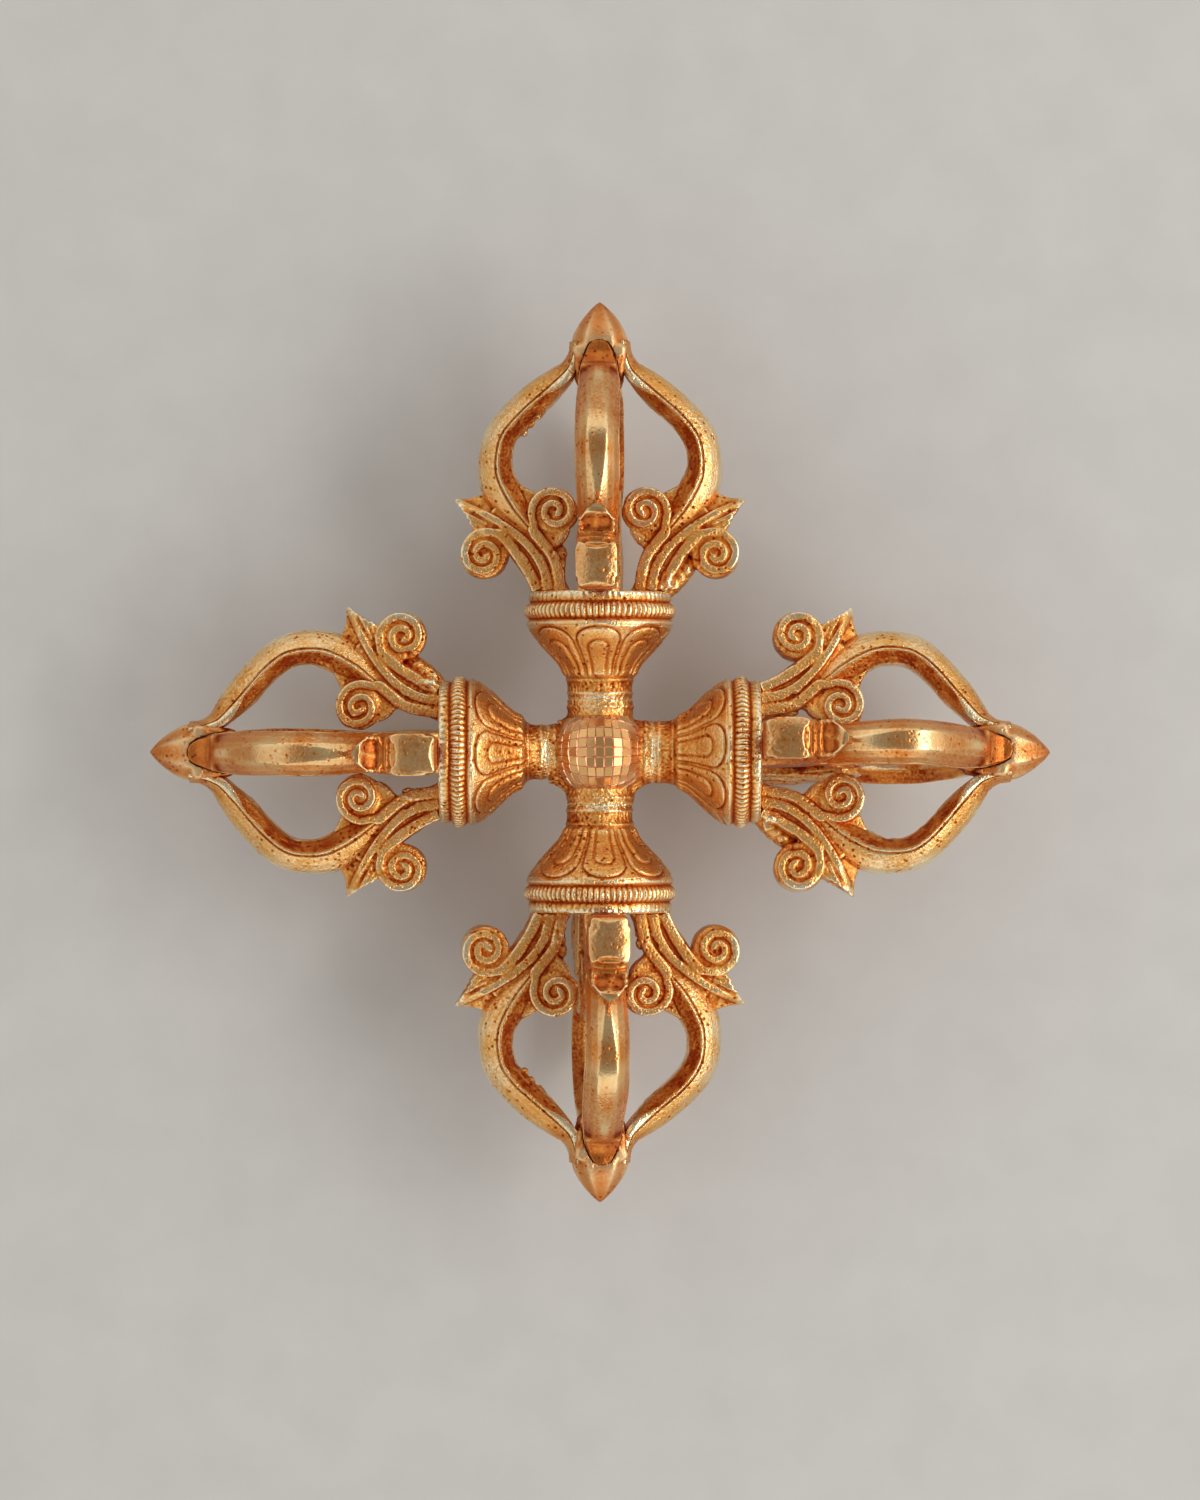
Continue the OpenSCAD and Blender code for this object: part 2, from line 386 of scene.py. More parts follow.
# Rubbed with a burnishing stone until it mirrors: brown gold with sharp lights and little grain
BURNISHED_GILT = GiltFinish(
    name="Burnished gilt copper",
    recess="#8C3410",
    ground="#C4692E",
    body="#DC893E",
    crest="#FAD79C",
    crest_rough=0.22,
    recess_rough=0.38,
    grain=0.42,
    grain_depth=0.08,
    pits=0.7,
    speckle=0.5,
)
# Left from the file and worn by hands: lights with soft edges, a little redder than the prongs
FILED_GILT = GiltFinish(
    name="Filed gilt copper",
    recess="#903814",
    ground="#C36931",
    body="#DB8A46",
    crest="#F2C892",
    crest_rough=0.38,
    recess_rough=0.50,
    grain=0.40,
    grain_depth=0.13,
    pits=0.8,
    speckle=0.6,
)
# Scraped flat and polished: even facets that catch the light one by one
FACET_GILT = GiltFinish(
    name="Polished engraved gilt",
    recess="#D89A58",
    ground="#E4AE6A",
    body="#ECBC7A",
    crest="#F5D292",
    crest_rough=0.22,
    recess_rough=0.30,
    grain=1.2,
    grain_depth=0.01,
    pits=0.1,
    speckle=0.3,
)
# Cut with a graver and gilt once more: thin pinkish lines, with one wall brighter than the other
GROOVE_GILT = GiltFinish(
    name="Red gilt in engraved lines",
    recess="#B8603A",
    ground="#D88C62",
    body="#F0B890",
    crest="#FFE4C4",
    crest_rough=0.24,
    recess_rough=0.34,
    grain=0.5,
    grain_depth=0.02,
    pits=0.1,
    speckle=0.3,
)
# Rolled with matt paint: a pale ground without lights of its own
PALE_BOARD = FloorFinish(name="Matt painted board", light="#D4D1CC", dark="#CFCCC7")


def curve_through(points: Sequence[Sequence[float]], steps: int) -> list[Vector]:
    """Runs a smooth curve through points.

    Args:
        points: points with any number of values each.
        steps: rows from each point to the next.

    Returns:
        The rows along the curve, the last point among them.
    """
    knots = [Vector(p) for p in points]
    last = len(knots) - 1
    rows: list[Vector] = []
    for i in range(last):
        a, b, c, d = knots[max(i - 1, 0)], knots[i], knots[i + 1], knots[min(i + 2, last)]
        for k in range(steps):
            t = k / steps
            bend = (2 * a - 5 * b + 4 * c - d) * t * t + (3 * b - a - 3 * c + d) * t**3
            rows.append(0.5 * (2 * b + (c - a) * t + bend))
    return [*rows, knots[-1]]


def spaced(points: Sequence[tuple[float, float]], gap: float) -> list[tuple[float, float]]:
    """Adds points to a line of straight runs.

    Args:
        points: corners of the line.
        gap: distance that no two neighbours exceed.

    Returns:
        The corners and the points between them.
    """
    rows: list[tuple[float, float]] = []
    for one, two in zip(points, points[1:]):
        count = max(1, math.ceil(math.dist(one, two) / gap))
        for k in range(count):
            x, y = [a + (b - a) * k / count for a, b in zip(one, two)]
            rows.append((x, y))
    return [*rows, points[-1]]


def frames_along(rows: Sequence[Vector], across: float = 0.0) -> list[Matrix]:
    """Stands a frame on each row of a curve that lies in the plane of w and v.

    Args:
        rows: w, v, depth and width along the curve.
        across: place across the prong.

    Returns:
        Frames with X along the curve, Y across the prong and Z outwards.
    """
    frames = []
    for i, (w, v, depth, width) in enumerate(rows):
        way = (rows[min(i + 1, len(rows) - 1)] - rows[max(i - 1, 0)]).xy.normalized()
        along, outwards = (way.x, 0, -way.y * depth, w), (way.y, 0, way.x * depth, v)
        frames.append(Matrix((along, (0, width, 0, across), outwards, (0, 0, 0, 1))))
    return frames


def smooth_step(low: float, high: float, value: float) -> float:
    """Rises softly from 0 at low to 1 at high."""
    share = min(max((value - low) / (high - low), 0.0), 1.0)
    return share * share * (3 - 2 * share)


def bump(distance: float, width: float) -> float:
    """Height of a round bump at a distance from its middle, 1 at the most."""
    return math.exp(-((distance / width) ** 2))


def rings_at(u: float, rings: Sequence[tuple[float, float, float]]) -> float:
    """Height of rings on a turned body, from the place, the height and the width of each."""
    return sum(height * bump(u - at, width) for at, height, width in rings)


class Wax:
    """Wax model of a cast piece: closed solids that overlap and are fused into one skin."""

    def __init__(self) -> None:
        """Starts with an empty mesh."""
        self.bm = bmesh.new()

    def bar(
        self, sections: Sequence[Sequence[tuple[float, float]]], frames: Sequence[Matrix]
    ) -> None:
        """Extrudes a closed section through a row of frames.

        Args:
            sections: points across and outwards for each frame, in the frame's own units.
            frames: frames that the section passes through.
        """
        start = [self.bm.verts.new(frames[0] @ Vector((0, y, z))) for y, z in sections[0]]
        face = self.bm.faces.new(start)
        inner = []
        for section, frame in zip(sections[1:], frames[1:]):
            grown = bmesh.ops.extrude_face_region(self.bm, geom=[face])["geom"]
            face = next(part for part in grown if isinstance(part, bmesh.types.BMFace))
            inner.append(face)
            for vert, (y, z) in zip(face.verts, section):
                vert.co = frame @ Vector((0, y, z))
        bmesh.ops.delete(self.bm, geom=inner[:-1], context="FACES_ONLY")

    def round_edges(self, edges: Iterable[bmesh.types.BMEdge], size: float, segments: int) -> None:
        """Rounds some of the wax's edges.

        Args:
            edges: the edges.
            size: how far the rounding reaches.
            segments: faces across it.
        """
        bmesh.ops.bevel(
            self.bm,
            geom=list(edges),
            offset=size,
            segments=segments,
            profile=0.5,
            affect="EDGES",
            material=-1,
        )

    def plate(self, outline: Sequence[Sequence[float]], half: float, edge: float) -> None:
        """Adds a flat plate with round edges.

        Args:
            outline: points along the arm and outwards.
            half: half of the thickness.
            edge: size of the round edges.
        """
        face = self.bm.faces.new([self.bm.verts.new((p[0], -half, p[1])) for p in outline])
        grown = bmesh.ops.extrude_face_region(self.bm, geom=[face])["geom"]
        top = next(part for part in grown if isinstance(part, bmesh.types.BMFace))
        bmesh.ops.translate(self.bm, vec=(0, 2 * half, 0), verts=top.verts)
        self.round_edges([*face.edges, *top.edges], edge, 2)

    def drum(self, at: Sequence[float], radius: float, half: float, edge: float) -> None:
        """Adds a drum that lies across the prong.

        Args:
            at: middle along the arm and outwards.
            radius: radius of the drum.
            half: half of its length.
            edge: size of its round edges.
        """
        place = Matrix.Translation((at[0], 0, at[1])) @ Matrix.Rotation(math.pi / 2, 4, "X")
        made = bmesh.ops.create_cone(
            self.bm, cap_ends=True, segments=48, radius1=radius, radius2=radius, depth=2 * half,
            matrix=place,
        )["verts"]
        edges = dict.fromkeys(side for vert in made for side in vert.link_edges)
        rim = [e for e in edges if abs(e.verts[0].co.y - e.verts[1].co.y) < 1e-4]
        self.round_edges(rim, edge, 3)

    def lump(self, place: Matrix) -> None:
        """Adds a ball of radius 1, moved and stretched by a frame."""
        bmesh.ops.create_icosphere(self.bm, subdivisions=3, radius=1, matrix=place)

    def move(self, step: Callable[[Vector], Vector]) -> None:
        """Moves every point of the wax.

        Args:
            step: gives a point's new place from its old one.
        """
        for vert in self.bm.verts:
            vert.co = step(vert.co)

    def take(self, other: "Wax", mirrored: bool = False) -> None:
        """Takes over the solids of another wax, which is then used up.

        Args:
            other: wax to take.
            mirrored: True to add its mirror image across the prong too.
        """
        if mirrored:
            parts = [*other.bm.verts, *other.bm.edges, *other.bm.faces]
            bmesh.ops.mirror(other.bm, geom=parts, matrix=Matrix(), merge_dist=0.0001, axis="Y")
        mesh = bpy.data.meshes.new("wax")
        other.bm.to_mesh(mesh)
        other.bm.free()
        self.bm.from_mesh(mesh)
        bpy.data.meshes.remove(mesh)

    def solid(self, name: str, passes: int = 0) -> bpy.types.Mesh:
        """Takes the wax as it is, for a single closed solid.

        Args:
            name: name of the mesh.
            passes: how often its edges are softened.

        Returns:
            The closed mesh, in millimetres.
        """
        bmesh.ops.recalc_face_normals(self.bm, faces=self.bm.faces)
        for _ in range(passes):
            bmesh.ops.smooth_vert(
                self.bm, verts=self.bm.verts, factor=0.5,
                use_axis_x=True, use_axis_y=True, use_axis_z=True,
            )
        mesh = bpy.data.meshes.new(name)
        self.bm.to_mesh(mesh)
        self.bm.free()
        return mesh

    def cast(self, name: str, grain: float, passes: int) -> bpy.types.Mesh:
        """Fuses overlapping solids into one skin.

        Args:
            name: name of the mesh.
            grain: length of the skin's faces.
            passes: how often the skin is smoothed.

        Returns:
            The closed skin, in millimetres.
        """
        mesh = self.solid(name)
        holder = bpy.data.objects.new(name, mesh)
        bpy.context.scene.collection.objects.link(holder)
        fuse = holder.modifiers.new("Fuse", "REMESH")
        fuse.mode = "VOXEL"
        fuse.voxel_size = grain
        fused = holder.evaluated_get(bpy.context.evaluated_depsgraph_get())
        skin = bpy.data.meshes.new_from_object(fused)
        bpy.data.objects.remove(holder)
        bpy.data.meshes.remove(mesh)
        soft = Wax()
        soft.bm.from_mesh(skin)
        bpy.data.meshes.remove(skin)
        return soft.solid(name, passes)


def join(body: bpy.types.Mesh, other: bpy.types.Mesh, how: Join) -> bpy.types.Mesh:
    """Adds a closed mesh to another or cuts it out of it. Both are used up.

    Args:
        body: mesh that stays.
        other: mesh that is added or cut out.
        how: which of the two.

    Returns:
        The joined mesh.
    """
    holders = [bpy.data.objects.new(mesh.name, mesh) for mesh in (body, other)]
    for holder in holders:
        bpy.context.scene.collection.objects.link(holder)
    step = holders[0].modifiers.new("Join", "BOOLEAN")
    step.operation, step.solver, step.object = how.value, "MANIFOLD", holders[1]
    joined = holders[0].evaluated_get(bpy.context.evaluated_depsgraph_get())
    mesh = bpy.data.meshes.new_from_object(joined)
    mesh.materials.clear()
    for holder in holders:
        used = holder.data
        bpy.data.objects.remove(holder)
        bpy.data.meshes.remove(used)
    return mesh


def rough_skin(spot: Vector, waves: Waves) -> float:
    """Height of a rough skin at a place."""
    return sum(swing * noise.noise(spot / length) for swing, length in waves)


def raise_skin(mesh: bpy.types.Mesh, rise: Callable[[Vector, Vector], float]) -> None:
    """Moves each point of a mesh along its normal.

    Args:
        mesh: mesh in millimetres.
        rise: gives how far, from the point's place and normal.
    """
    ways = [vert.normal.copy() for vert in mesh.vertices]
    for vert, way in zip(mesh.vertices, ways):
        vert.co += way * rise(vert.co, way)


def hand_work(mesh: bpy.types.Mesh) -> None:
    """Gives a mesh the slight unevenness of hand work, and keeps it between the two rest planes.

    Args:
        mesh: mesh in its place, in millimetres.
    """
    for vert in mesh.vertices:
        spot = vert.co.copy()
        steps = [swing * noise.noise_vector(spot / length) for swing, length in HAND_WAVES]
        spot += sum(steps, Vector())
        spot.z = min(max(spot.z, -REST_HEIGHT), REST_HEIGHT)
        vert.co = spot


def mark_relief(
    mesh: bpy.types.Mesh,
    rounds: int,
    reach: float,
    sunk: Callable[[np.ndarray, np.ndarray], np.ndarray],
) -> None:
    """Writes how far each point stands above or below its softened surroundings.

    Args:
        mesh: mesh in millimetres.
        rounds: how often the surroundings are softened.
        reach: height that counts as a full crest or recess.
        sunk: gives what is taken off the marks, from places and normals: red unburnished metal, and
            painted shade.
    """
    count = len(mesh.vertices)
    spots = np.empty(count * 3, np.float32)
    mesh.vertices.foreach_get("co", spots)
    spots = spots.reshape(-1, 3)
    normals = np.empty(count * 3, np.float32)
    mesh.vertices.foreach_get("normal", normals)
    normals = normals.reshape(-1, 3)
    ends = np.empty(len(mesh.edges) * 2, np.int32)
    mesh.edges.foreach_get("vertices", ends)
    one, two = ends.reshape(-1, 2).T
    links = np.bincount(one, minlength=count) + np.bincount(two, minlength=count)
    soft = spots.astype(np.float64)
    for _ in range(rounds):
        sums = [
            np.bincount(one, soft[two, axis], count) + np.bincount(two, soft[one, axis], count)
            for axis in range(3)
        ]
        soft = 0.5 * soft + 0.5 * np.stack(sums, 1) / np.maximum(links, 1)[:, None]
    # Hollows get low marks and crests high ones; the gilt materials paint these darker and paler,
    # partly as painted shade and highlight
    height = 0.5 + 0.5 * np.clip(((spots - soft) * normals).sum(1) / reach, -1, 1)
    # What sunk gives includes painted shade, which makes the marks darker and redder
    height = height - sunk(spots, normals)
    marks = mesh.attributes.new("relief", "FLOAT", "POINT")
    marks.data.foreach_set("value", height.astype(np.float32))


def make_piece(
    mesh: bpy.types.Mesh, node: str, materials: Sequence[bpy.types.Material]
) -> bpy.types.Object:
    """Makes a finished mesh a piece of the part, in metres.

    Args:
        mesh: mesh in its place, in millimetres.
        node: node that it stands for.
        materials: materials in the order of the mesh's slots.

    Returns:
        The piece.
    """
    mesh.transform(Matrix.Scale(MM, 4))
    for material in materials:
        mesh.materials.append(material)
    piece = bpy.data.objects.new(f"gilt_{node}", mesh)
    bpy.context.scene.collection.objects.link(piece)
    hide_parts(node)
    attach(piece, "root")
    LOG.info("%s: %d faces", piece.name, len(mesh.polygons))
    return piece


def lay(
    mesh: bpy.types.Mesh, place: Matrix, node: str, metal: bpy.types.Material
) -> None:
    """Lays a mesh in its place, uneven from hand work, and makes it a piece with a smooth skin.

    Args:
        mesh: mesh in its own frame, in millimetres.
        place: frame that it goes to.
        node: node that it stands for.
        metal: material.
    """
    mesh.transform(place)
    hand_work(mesh)
    make_piece(mesh, node, [metal]).data.shade_smooth()


@dataclass(frozen=True)
class Prong:
    """One of an arm's four curved prongs: stem with two volutes and a leaf, and a roofed bar."""

    crown_at: float = 22.3  # crown of the bar, along the arm
    crown_v: float = 20.25  # its outer side there
    shaft_w: float = 7.4  # width and depth of the bar at the crown
    shaft_d: float = 5.7
    length: float = 41.6  # where the bar ends on the tip
    end_w: float = 6.4  # width and depth of its end
    end_d: float = 1.7
    seat_v: float = 3.4  # side of the tip that the end lies on
    seated: tuple[float, float] = (32.5, 37.0)  # where the inner side goes over to that seat
    rubbed_at: tuple[float, float] = (16.0, 33.0)  # ends of the rubbed facet
    rubbed_share: float = 0.82  # share of what stood above the facet that is rubbed away
    tongue_at: float = 35.8  # start of a rubbed prong's flat tongue
    outer_at: tuple[float, float] = (6.1, 19.3)  # middle and radius of the outer volute
    outer_r: float = 4.0
    inner_at: tuple[float, float] = (13.4, 7.5)  # middle and radius of the inner volute
    inner_r: float = 3.8
    leaf_at: tuple[float, float] = (15.5, 24.2)  # point of the leaf
    foot_out: float = 11.0  # outer side of the foot
    face: float = 2.75  # half thickness of the stem
    leaf_half: float = 2.6  # half thickness of the leaf
    strap_half: float = 0.5  # half width of a strap
    feather: tuple[float, float] = (0.2, 0.34)  # half width and height of a feather
    drop: float = 1.9  # how much closer to the lotus base a rubbed volute and leaf sit
    skin: Waves = ((0.22, 0.8), (0.28, 2.1))  # roughness of the inner sides
    grain: float = 0.184  # length of the stem's faces
    marks: tuple[int, float] = (34, 0.30)  # rounds and height of the relief marks

    def bar_rows(self, rubbed: bool) -> list[Vector]:
        """Rows of the roofed bar from the stem to the tip.

        Args:
            rubbed: True for the prongs that end in a pointed tongue, False for the blunt ones.

        Returns:
            w, v, depth and width along the bar.
        """
        mid = self.crown_v - self.shaft_d / 2
        end_mid = self.seat_v + self.end_d / 2

        def rising(f: float, g: float, d: float, b: float) -> list[float]:
            """A station on the rise, as shares of the crown's sizes."""
            return [self.crown_at * f, mid * g, self.shaft_d * d, self.shaft_w * b]

        def falling(f: float, g: float, d: float, b: float) -> list[float]:
            """A station on the fall, as shares of the way from the end to the crown."""
            return [
                self.crown_at + (self.length - self.crown_at) * f,
                end_mid + (mid - end_mid) * g,
                self.end_d + (self.shaft_d - self.end_d) * d,
                self.end_w + (self.shaft_w - self.end_w) * b,
            ]

        stations = [
            rising(0.40, 0.62, 0.30, 0.70),
            rising(0.48, 0.70, 0.80, 0.84),
            rising(0.64, 0.86, 1.15, 0.92),
            rising(0.83, 0.98, 1.08, 0.98),
            falling(0.00, 1.000, 1.00, 1.0),
            falling(0.19, 0.935, 0.98, 1.0),
            falling(0.37, 0.725, 0.93, 1.0),
            falling(0.57, 0.390, 0.88, 0.8),
        ]
        for f, g, d, tongue, blunt in [
            (0.73, 0.130, 0.48, 0.1, 1.0),
            (0.80, 0.062, 0.25, -0.4, 1.0),
            (0.865, 0.026, 0.08, -1.3, 1.0),
            (0.917, 0.010, 0.00, -2.0, 1.0),
            (0.958, 0.004, 0.00, -2.8, 1.0),
            (0.985, 0.001, 0.00, -3.7, 0.95),
            (1.000, 0.000, 0.00, -5.4, 0.85),
        ]:
            stations.append(falling(f, g, d, tongue if rubbed else blunt))
        return curve_through(stations, 7)

    def section(self, w: float, rubbed: bool) -> list[tuple[float, float]]:
        """Section of the bar: a roof outside, a sunk line along each side and a keel inside.

        Args:
            w: distance along the arm.
            rubbed: True where the crown is rubbed flat.

        Returns:
            Points in shares of the bar's width and depth.
        """
        corners = [(0.055, 0.5), (0.23, 0.395), (0.378, 0.21), (0.466, 0.026), (0.473, 0.0)]
        corners += [(0.440, -0.032), (0.48, -0.067), (0.5, -0.088), (0.497, -0.132)]
        corners += [(0.473, -0.167), (0.31, -0.386), (0.16, -0.5)]
        start, end = self.rubbed_at
        share = min(max((w - start) / (end - start), 0.0), 1.0)
        limit = 0.5 - (0.088 * math.sin(math.pi * share**1.25) ** 0.8 if rubbed else 0.0)
        half = []
        for y, z in spaced(corners, 0.03):
            seated, seat = 0.0, 0.0
            if z < -0.1:
                seated = smooth_step(*self.seated, w)
                seat = -0.49 + 0.03 * smooth_step(0.42, 0.5, y)
            elif rubbed and z > -0.02:
                seated = smooth_step(-0.35, 0.35, w - self.tongue_at - 0.8 * y)
                seat = 0.5 - 0.13 * y / 0.45 - 0.14 * smooth_step(0.42, 0.5, y)
            z -= self.rubbed_share * max(0.0, z - limit)
            half.append((y, z + (seat - z) * seated))
        return half + [(-y, z) for y, z in reversed(half)]

    def strap_outline(self, half: float, height: float) -> list[tuple[float, float]]:
        """Section of a raised strap, with its sides sunk into the face.

        Args:
            half: half width of the strap.
            height: how far it stands above the face.

        Returns:
            Points across the prong and along its face.
        """
        rise = [(-0.8, 1.15 * half), (0.0, 1.10 * half)]
        rise += [(0.9 * height, 0.95 * half), (height, 0.7 * half)]
        return [(y, -z) for y, z in rise] + rise[::-1]

    def curl(
        self, at: tuple[float, float], start: float, sweep: float, outer: float, inner: float
    ) -> list[list[float]]:
        """Points of a curl round a volute's middle.

        Args:
            at: middle of the volute.
            start: angle of the first point, in degrees from the arm's direction towards v.
            sweep: angle through which it curls, in degrees.
            outer: radius of the first point.
            inner: radius of the last point.

        Returns:
            Points along the arm and outwards.
        """
        count = max(8, int(abs(sweep) / 24))
        points = []
        for k in range(count + 1):
            share = k / count
            angle = math.radians(start + sweep * share)
            radius = outer + (inner - outer) * share**0.8
            points.append([at[0] + radius * math.cos(angle), at[1] + radius * math.sin(angle)])
        return points

    def leaf_share(self, w: float) -> float:
        """Half width of the leaf, which goes in a little before it swells and comes to its point.

        Args:
            w: distance along the arm.

        Returns:
            The half width as a share of the leaf plate's.
        """
        past = min(max((w - 12.9) / 2.7, 0.0), 1.0)
        side = 1 - 0.08 * smooth_step(8.4, 9.2, w) + 0.10 * smooth_step(9.4, 12.0, w)
        return side * (1 - 0.86 * past**1.4)

    def beak(self, spot: Vector) -> Vector:
        """Draws the sides of the leaf together towards its point."""
        share = 1 + (self.leaf_share(spot.x) - 1) * smooth_step(18.6, 20.4, spot.z)
        return Vector((spot.x, spot.y * share, spot.z))

    def add_straps(self, wax: Wax) -> None:
        """Lays the three straps, their curls and the leaf's feathers on both faces of the stem.

        Args:
            wax: wax to add to.
        """
        inner = [[0.2, 6.6], [3.2, 7.0], [6.0, 7.9], [8.3, 9.7], [9.9, 11.0]]
        middle = [[0.2, 8.6], [3.4, 9.2], [6.2, 10.7], [8.4, 12.7], [10.2, 14.8], [11.8, 17.2]]
        middle += [[13.1, 19.5]]
        outer = [[0.2, 10.4], [2.9, 11.6], [5.3, 13.1], [7.4, 14.6], [9.2, 16.1]]
        inner_curl = self.curl(self.inner_at, 122, -655, 4.15, 0.5)
        outer_curl = self.curl(self.outer_at, -28, 665, 4.1, 0.5)
        feathers = [
            [[11.2, 18.7], [12.2, 20.8], [13.3, 22.7]],
            [[10.5, 19.0], [11.4, 20.8], [12.4, 22.1]],
            [[9.8, 19.4], [10.6, 20.8], [11.4, 21.6]],
        ]
        relief = Wax()
        for stem, end, face, height, taper in [
            (inner, inner_curl, self.face, 0.50, 0.0),
            (middle, [[14.3, 21.8], [15.0, 23.3]], self.face, 0.60, 0.75),
            (outer, outer_curl, self.face + 0.15, 0.50, 0.0),
        ]:
            wide, thin = 1.75, 1.30 - 0.6 * taper
            points = [[*spot, wide - taper * k / len(stem), 1.0] for k, spot in enumerate(stem)]
            points += [[*spot, thin - 0.35 * k / len(end), 1.0] for k, spot in enumerate(end)]
            rows = curve_through(points, 3)
            outlines = []
            for row in rows:
                low = 1 - 0.75 * taper * smooth_step(10.0, 13.5, row[0])
                outlines.append(self.strap_outline(self.strap_half, height * low))
            relief.bar(outlines, frames_along(rows, face))
        for feather in feathers:
            rows = curve_through([[*spot, 1.0, 1.0] for spot in feather], 3)
            outline = self.strap_outline(*self.feather)
            relief.bar([outline] * len(rows), frames_along(rows, self.face - 0.1))
        relief.move(self.beak)
        wax.take(relief, mirrored=True)

    def add_stem(self, wax: Wax, casting: Casting) -> None:
        """Adds the plate of the stem, with both volutes.

        Args:
            wax: wax to add to.
            casting: way in which the prong leaves its mould.
        """
        ow, ov = self.outer_at
        edge = curve_through(
            [
                [-0.3, 4.9], [1.0, 5.5], [4.5, 6.9], [7.0, 7.3], [8.0, 6.2], [9.3, 5.3],
                [10.8, 5.0], [13.4, 7.0], [16.0, 10.0], [17.2, 12.2], [18.2, 14.4], [17.4, 16.0],
                [14.6, 17.2], [10.7, 19.6], [ow + 3.6, ov - 2.4], [ow + 0.6, ov - 3.9], [3.4, 13.2],
                [1.2, self.foot_out + 0.5], [-0.3, self.foot_out + 0.7],
            ],
            2,
        )
        stem = Wax()
        stem.plate(edge, self.face, 0.4)

        def thin_web(spot: Vector) -> Vector:
            """Thins the web between the stem and the bar.

            Args:
                spot: point of the stem's plate.

            Returns:
                Its new place.
            """
            inside = smooth_step(20.0, 17.0, spot.z + 0.3 * spot.x - 4.5)
            thin = 1 - 0.45 * (smooth_step(11.5, 16.0, spot.x) * inside)
            return Vector((spot.x, spot.y * thin, spot.z))

        stem.move(thin_web)
        wax.take(stem)
        wax.drum((ow, ov), self.outer_r, self.face + 0.25, 0.6)
        if casting is Casting.RUBBED:
            block = [[2.2, 16.8], [1.8, 19.0], [1.8, 20.8], [2.6, 22.3], [5.4, 23.2], [8.2, 22.7]]
            wax.plate(curve_through([*block, [9.2, 20.8], [8.8, 16.8]], 3), self.face + 0.3, 0.5)
        wax.drum(self.inner_at, self.inner_r, self.face, 0.6)

    def add_leaf(self, wax: Wax) -> None:
        """Adds the leaf: a kite seen from its point, thin where it joins the bar.

        Args:
            wax: wax to add to.
        """
        tip_w, tip_v = self.leaf_at
        edge = [[8.6, 16.4], [8.9, 20.4], [10.7, 21.2], [12.4, 22.2], [tip_w - 1.0, tip_v - 0.5]]
        edge += [[tip_w, tip_v], [tip_w + 0.1, tip_v - 2.3], [tip_w + 0.4, tip_v - 3.4]]
        edge += [[tip_w + 0.8, tip_v - 4.7], [16.2, 16.8], [12.6, 14.6]]
        leaf = Wax()
        leaf.plate(curve_through(edge, 3), self.leaf_half, 0.3)

        def thin_edge(spot: Vector) -> Vector:
            """Thins the leaf beyond its rib and draws its sides together.

            Args:
                spot: point of the leaf's plate.

            Returns:
                Its new place.
            """
            past_rib = spot.x - (13.1 + (spot.z - 19.5) * 0.5)
            thin = 1.08 - 0.43 * smooth_step(-0.3, 1.5, past_rib)
            thin -= 0.40 * smooth_step(1.5, 3.2, past_rib)
            return self.beak(Vector((spot.x, spot.y * thin, spot.z)))

        leaf.move(thin_edge)
        wax.take(leaf)
        # Level ground under the feathers, between the outer edge and the rib
        field = Wax()
        edge = [[9.2, 17.6], [8.9, 20.2], [10.7, 21.1], [12.4, 22.1], [14.2, 23.3], [13.9, 21.4]]
        field.plate(curve_through([*edge, [13.0, 19.4], [12.0, 17.4]], 2), self.face, 0.25)
        field.move(self.beak)
        wax.take(field)

    def flaws(self, casting: Casting) -> list[tuple[float, ...]]:
        """Places of lumps: ribs at the foot of a rubbed leaf, or metal that ran out of the mould.

        Args:
            casting: way in which the prong left its mould.

        Returns:
            For each lump w, v and its half lengths along the arm, outwards and across.
        """
        return {
            Casting.RUBBED: [
                (9.2, 21.2, 0.5, 1.0, 3.0), (10.1, 21.1, 0.5, 0.9, 3.0),
                (11.0, 21.0, 0.5, 0.8, 2.9),
            ],
            Casting.CLEAN: [(5.0, 6.6, 1.4, 0.6, 1.0)],
            Casting.LUMPED: [
                (4.6, 6.5, 1.6, 0.9, 0.9), (6.4, 6.6, 1.4, 1.2, 1.2), (26.8, 12.7, 1.0, 0.7, 0.8),
                (28.2, 11.5, 1.0, 0.7, 0.9), (29.6, 10.2, 0.9, 0.7, 0.7),
            ],
            Casting.FLASHED: [
                (0.6, 11.8, 1.6, 1.0, 1.7), (1.5, 12.6, 1.9, 1.2, 1.8), (2.6, 13.5, 1.9, 1.3, 1.8),
                (3.7, 14.6, 1.6, 1.3, 1.9), (4.9, 15.4, 1.4, 1.2, 1.8),
            ],
        }[casting]

    def add_flaws(self, wax: Wax, casting: Casting) -> None:
        """Adds the ribs at the foot of a rubbed leaf, or the metal that ran out of the mould.

        Args:
            wax: wax to add to.
            casting: way in which the prong left its mould.
        """
        for w, v, along, out, across in self.flaws(casting):
            wax.lump(Matrix.Translation((w, 0, v)) @ Matrix.Diagonal((along, across, out, 1)))

    def finish_leaf(self, mesh: bpy.types.Mesh) -> None:
        """Hollows the upper face of the leaf between its rim and a faint midrib.

        Args:
            mesh: stem in the prong's own frame.
        """

        def hollow(spot: Vector, way: Vector) -> float:
            """Works out the hollow at a point of the stem.

            Args:
                spot: place of the point.
                way: normal there.

            Returns:
                The hollow's depth, below zero, or zero off the leaf.
            """
            w, t, v = spot
            if not (9.8 < w < 15.6 and v > 19.8 and way.z - 0.5 * way.x > 0.35):
                return 0.0
            inside = self.leaf_half * self.leaf_share(w) - abs(t)
            sink = 0.42 * smooth_step(0.0, 0.5, inside)
            sink *= smooth_step(11.0, 11.9, w) * smooth_step(14.4, 12.8, w)
            return -sink * (1 - 0.5 * bump(t - 0.3 * (13.0 - w), 0.5))

        raise_skin(mesh, hollow)

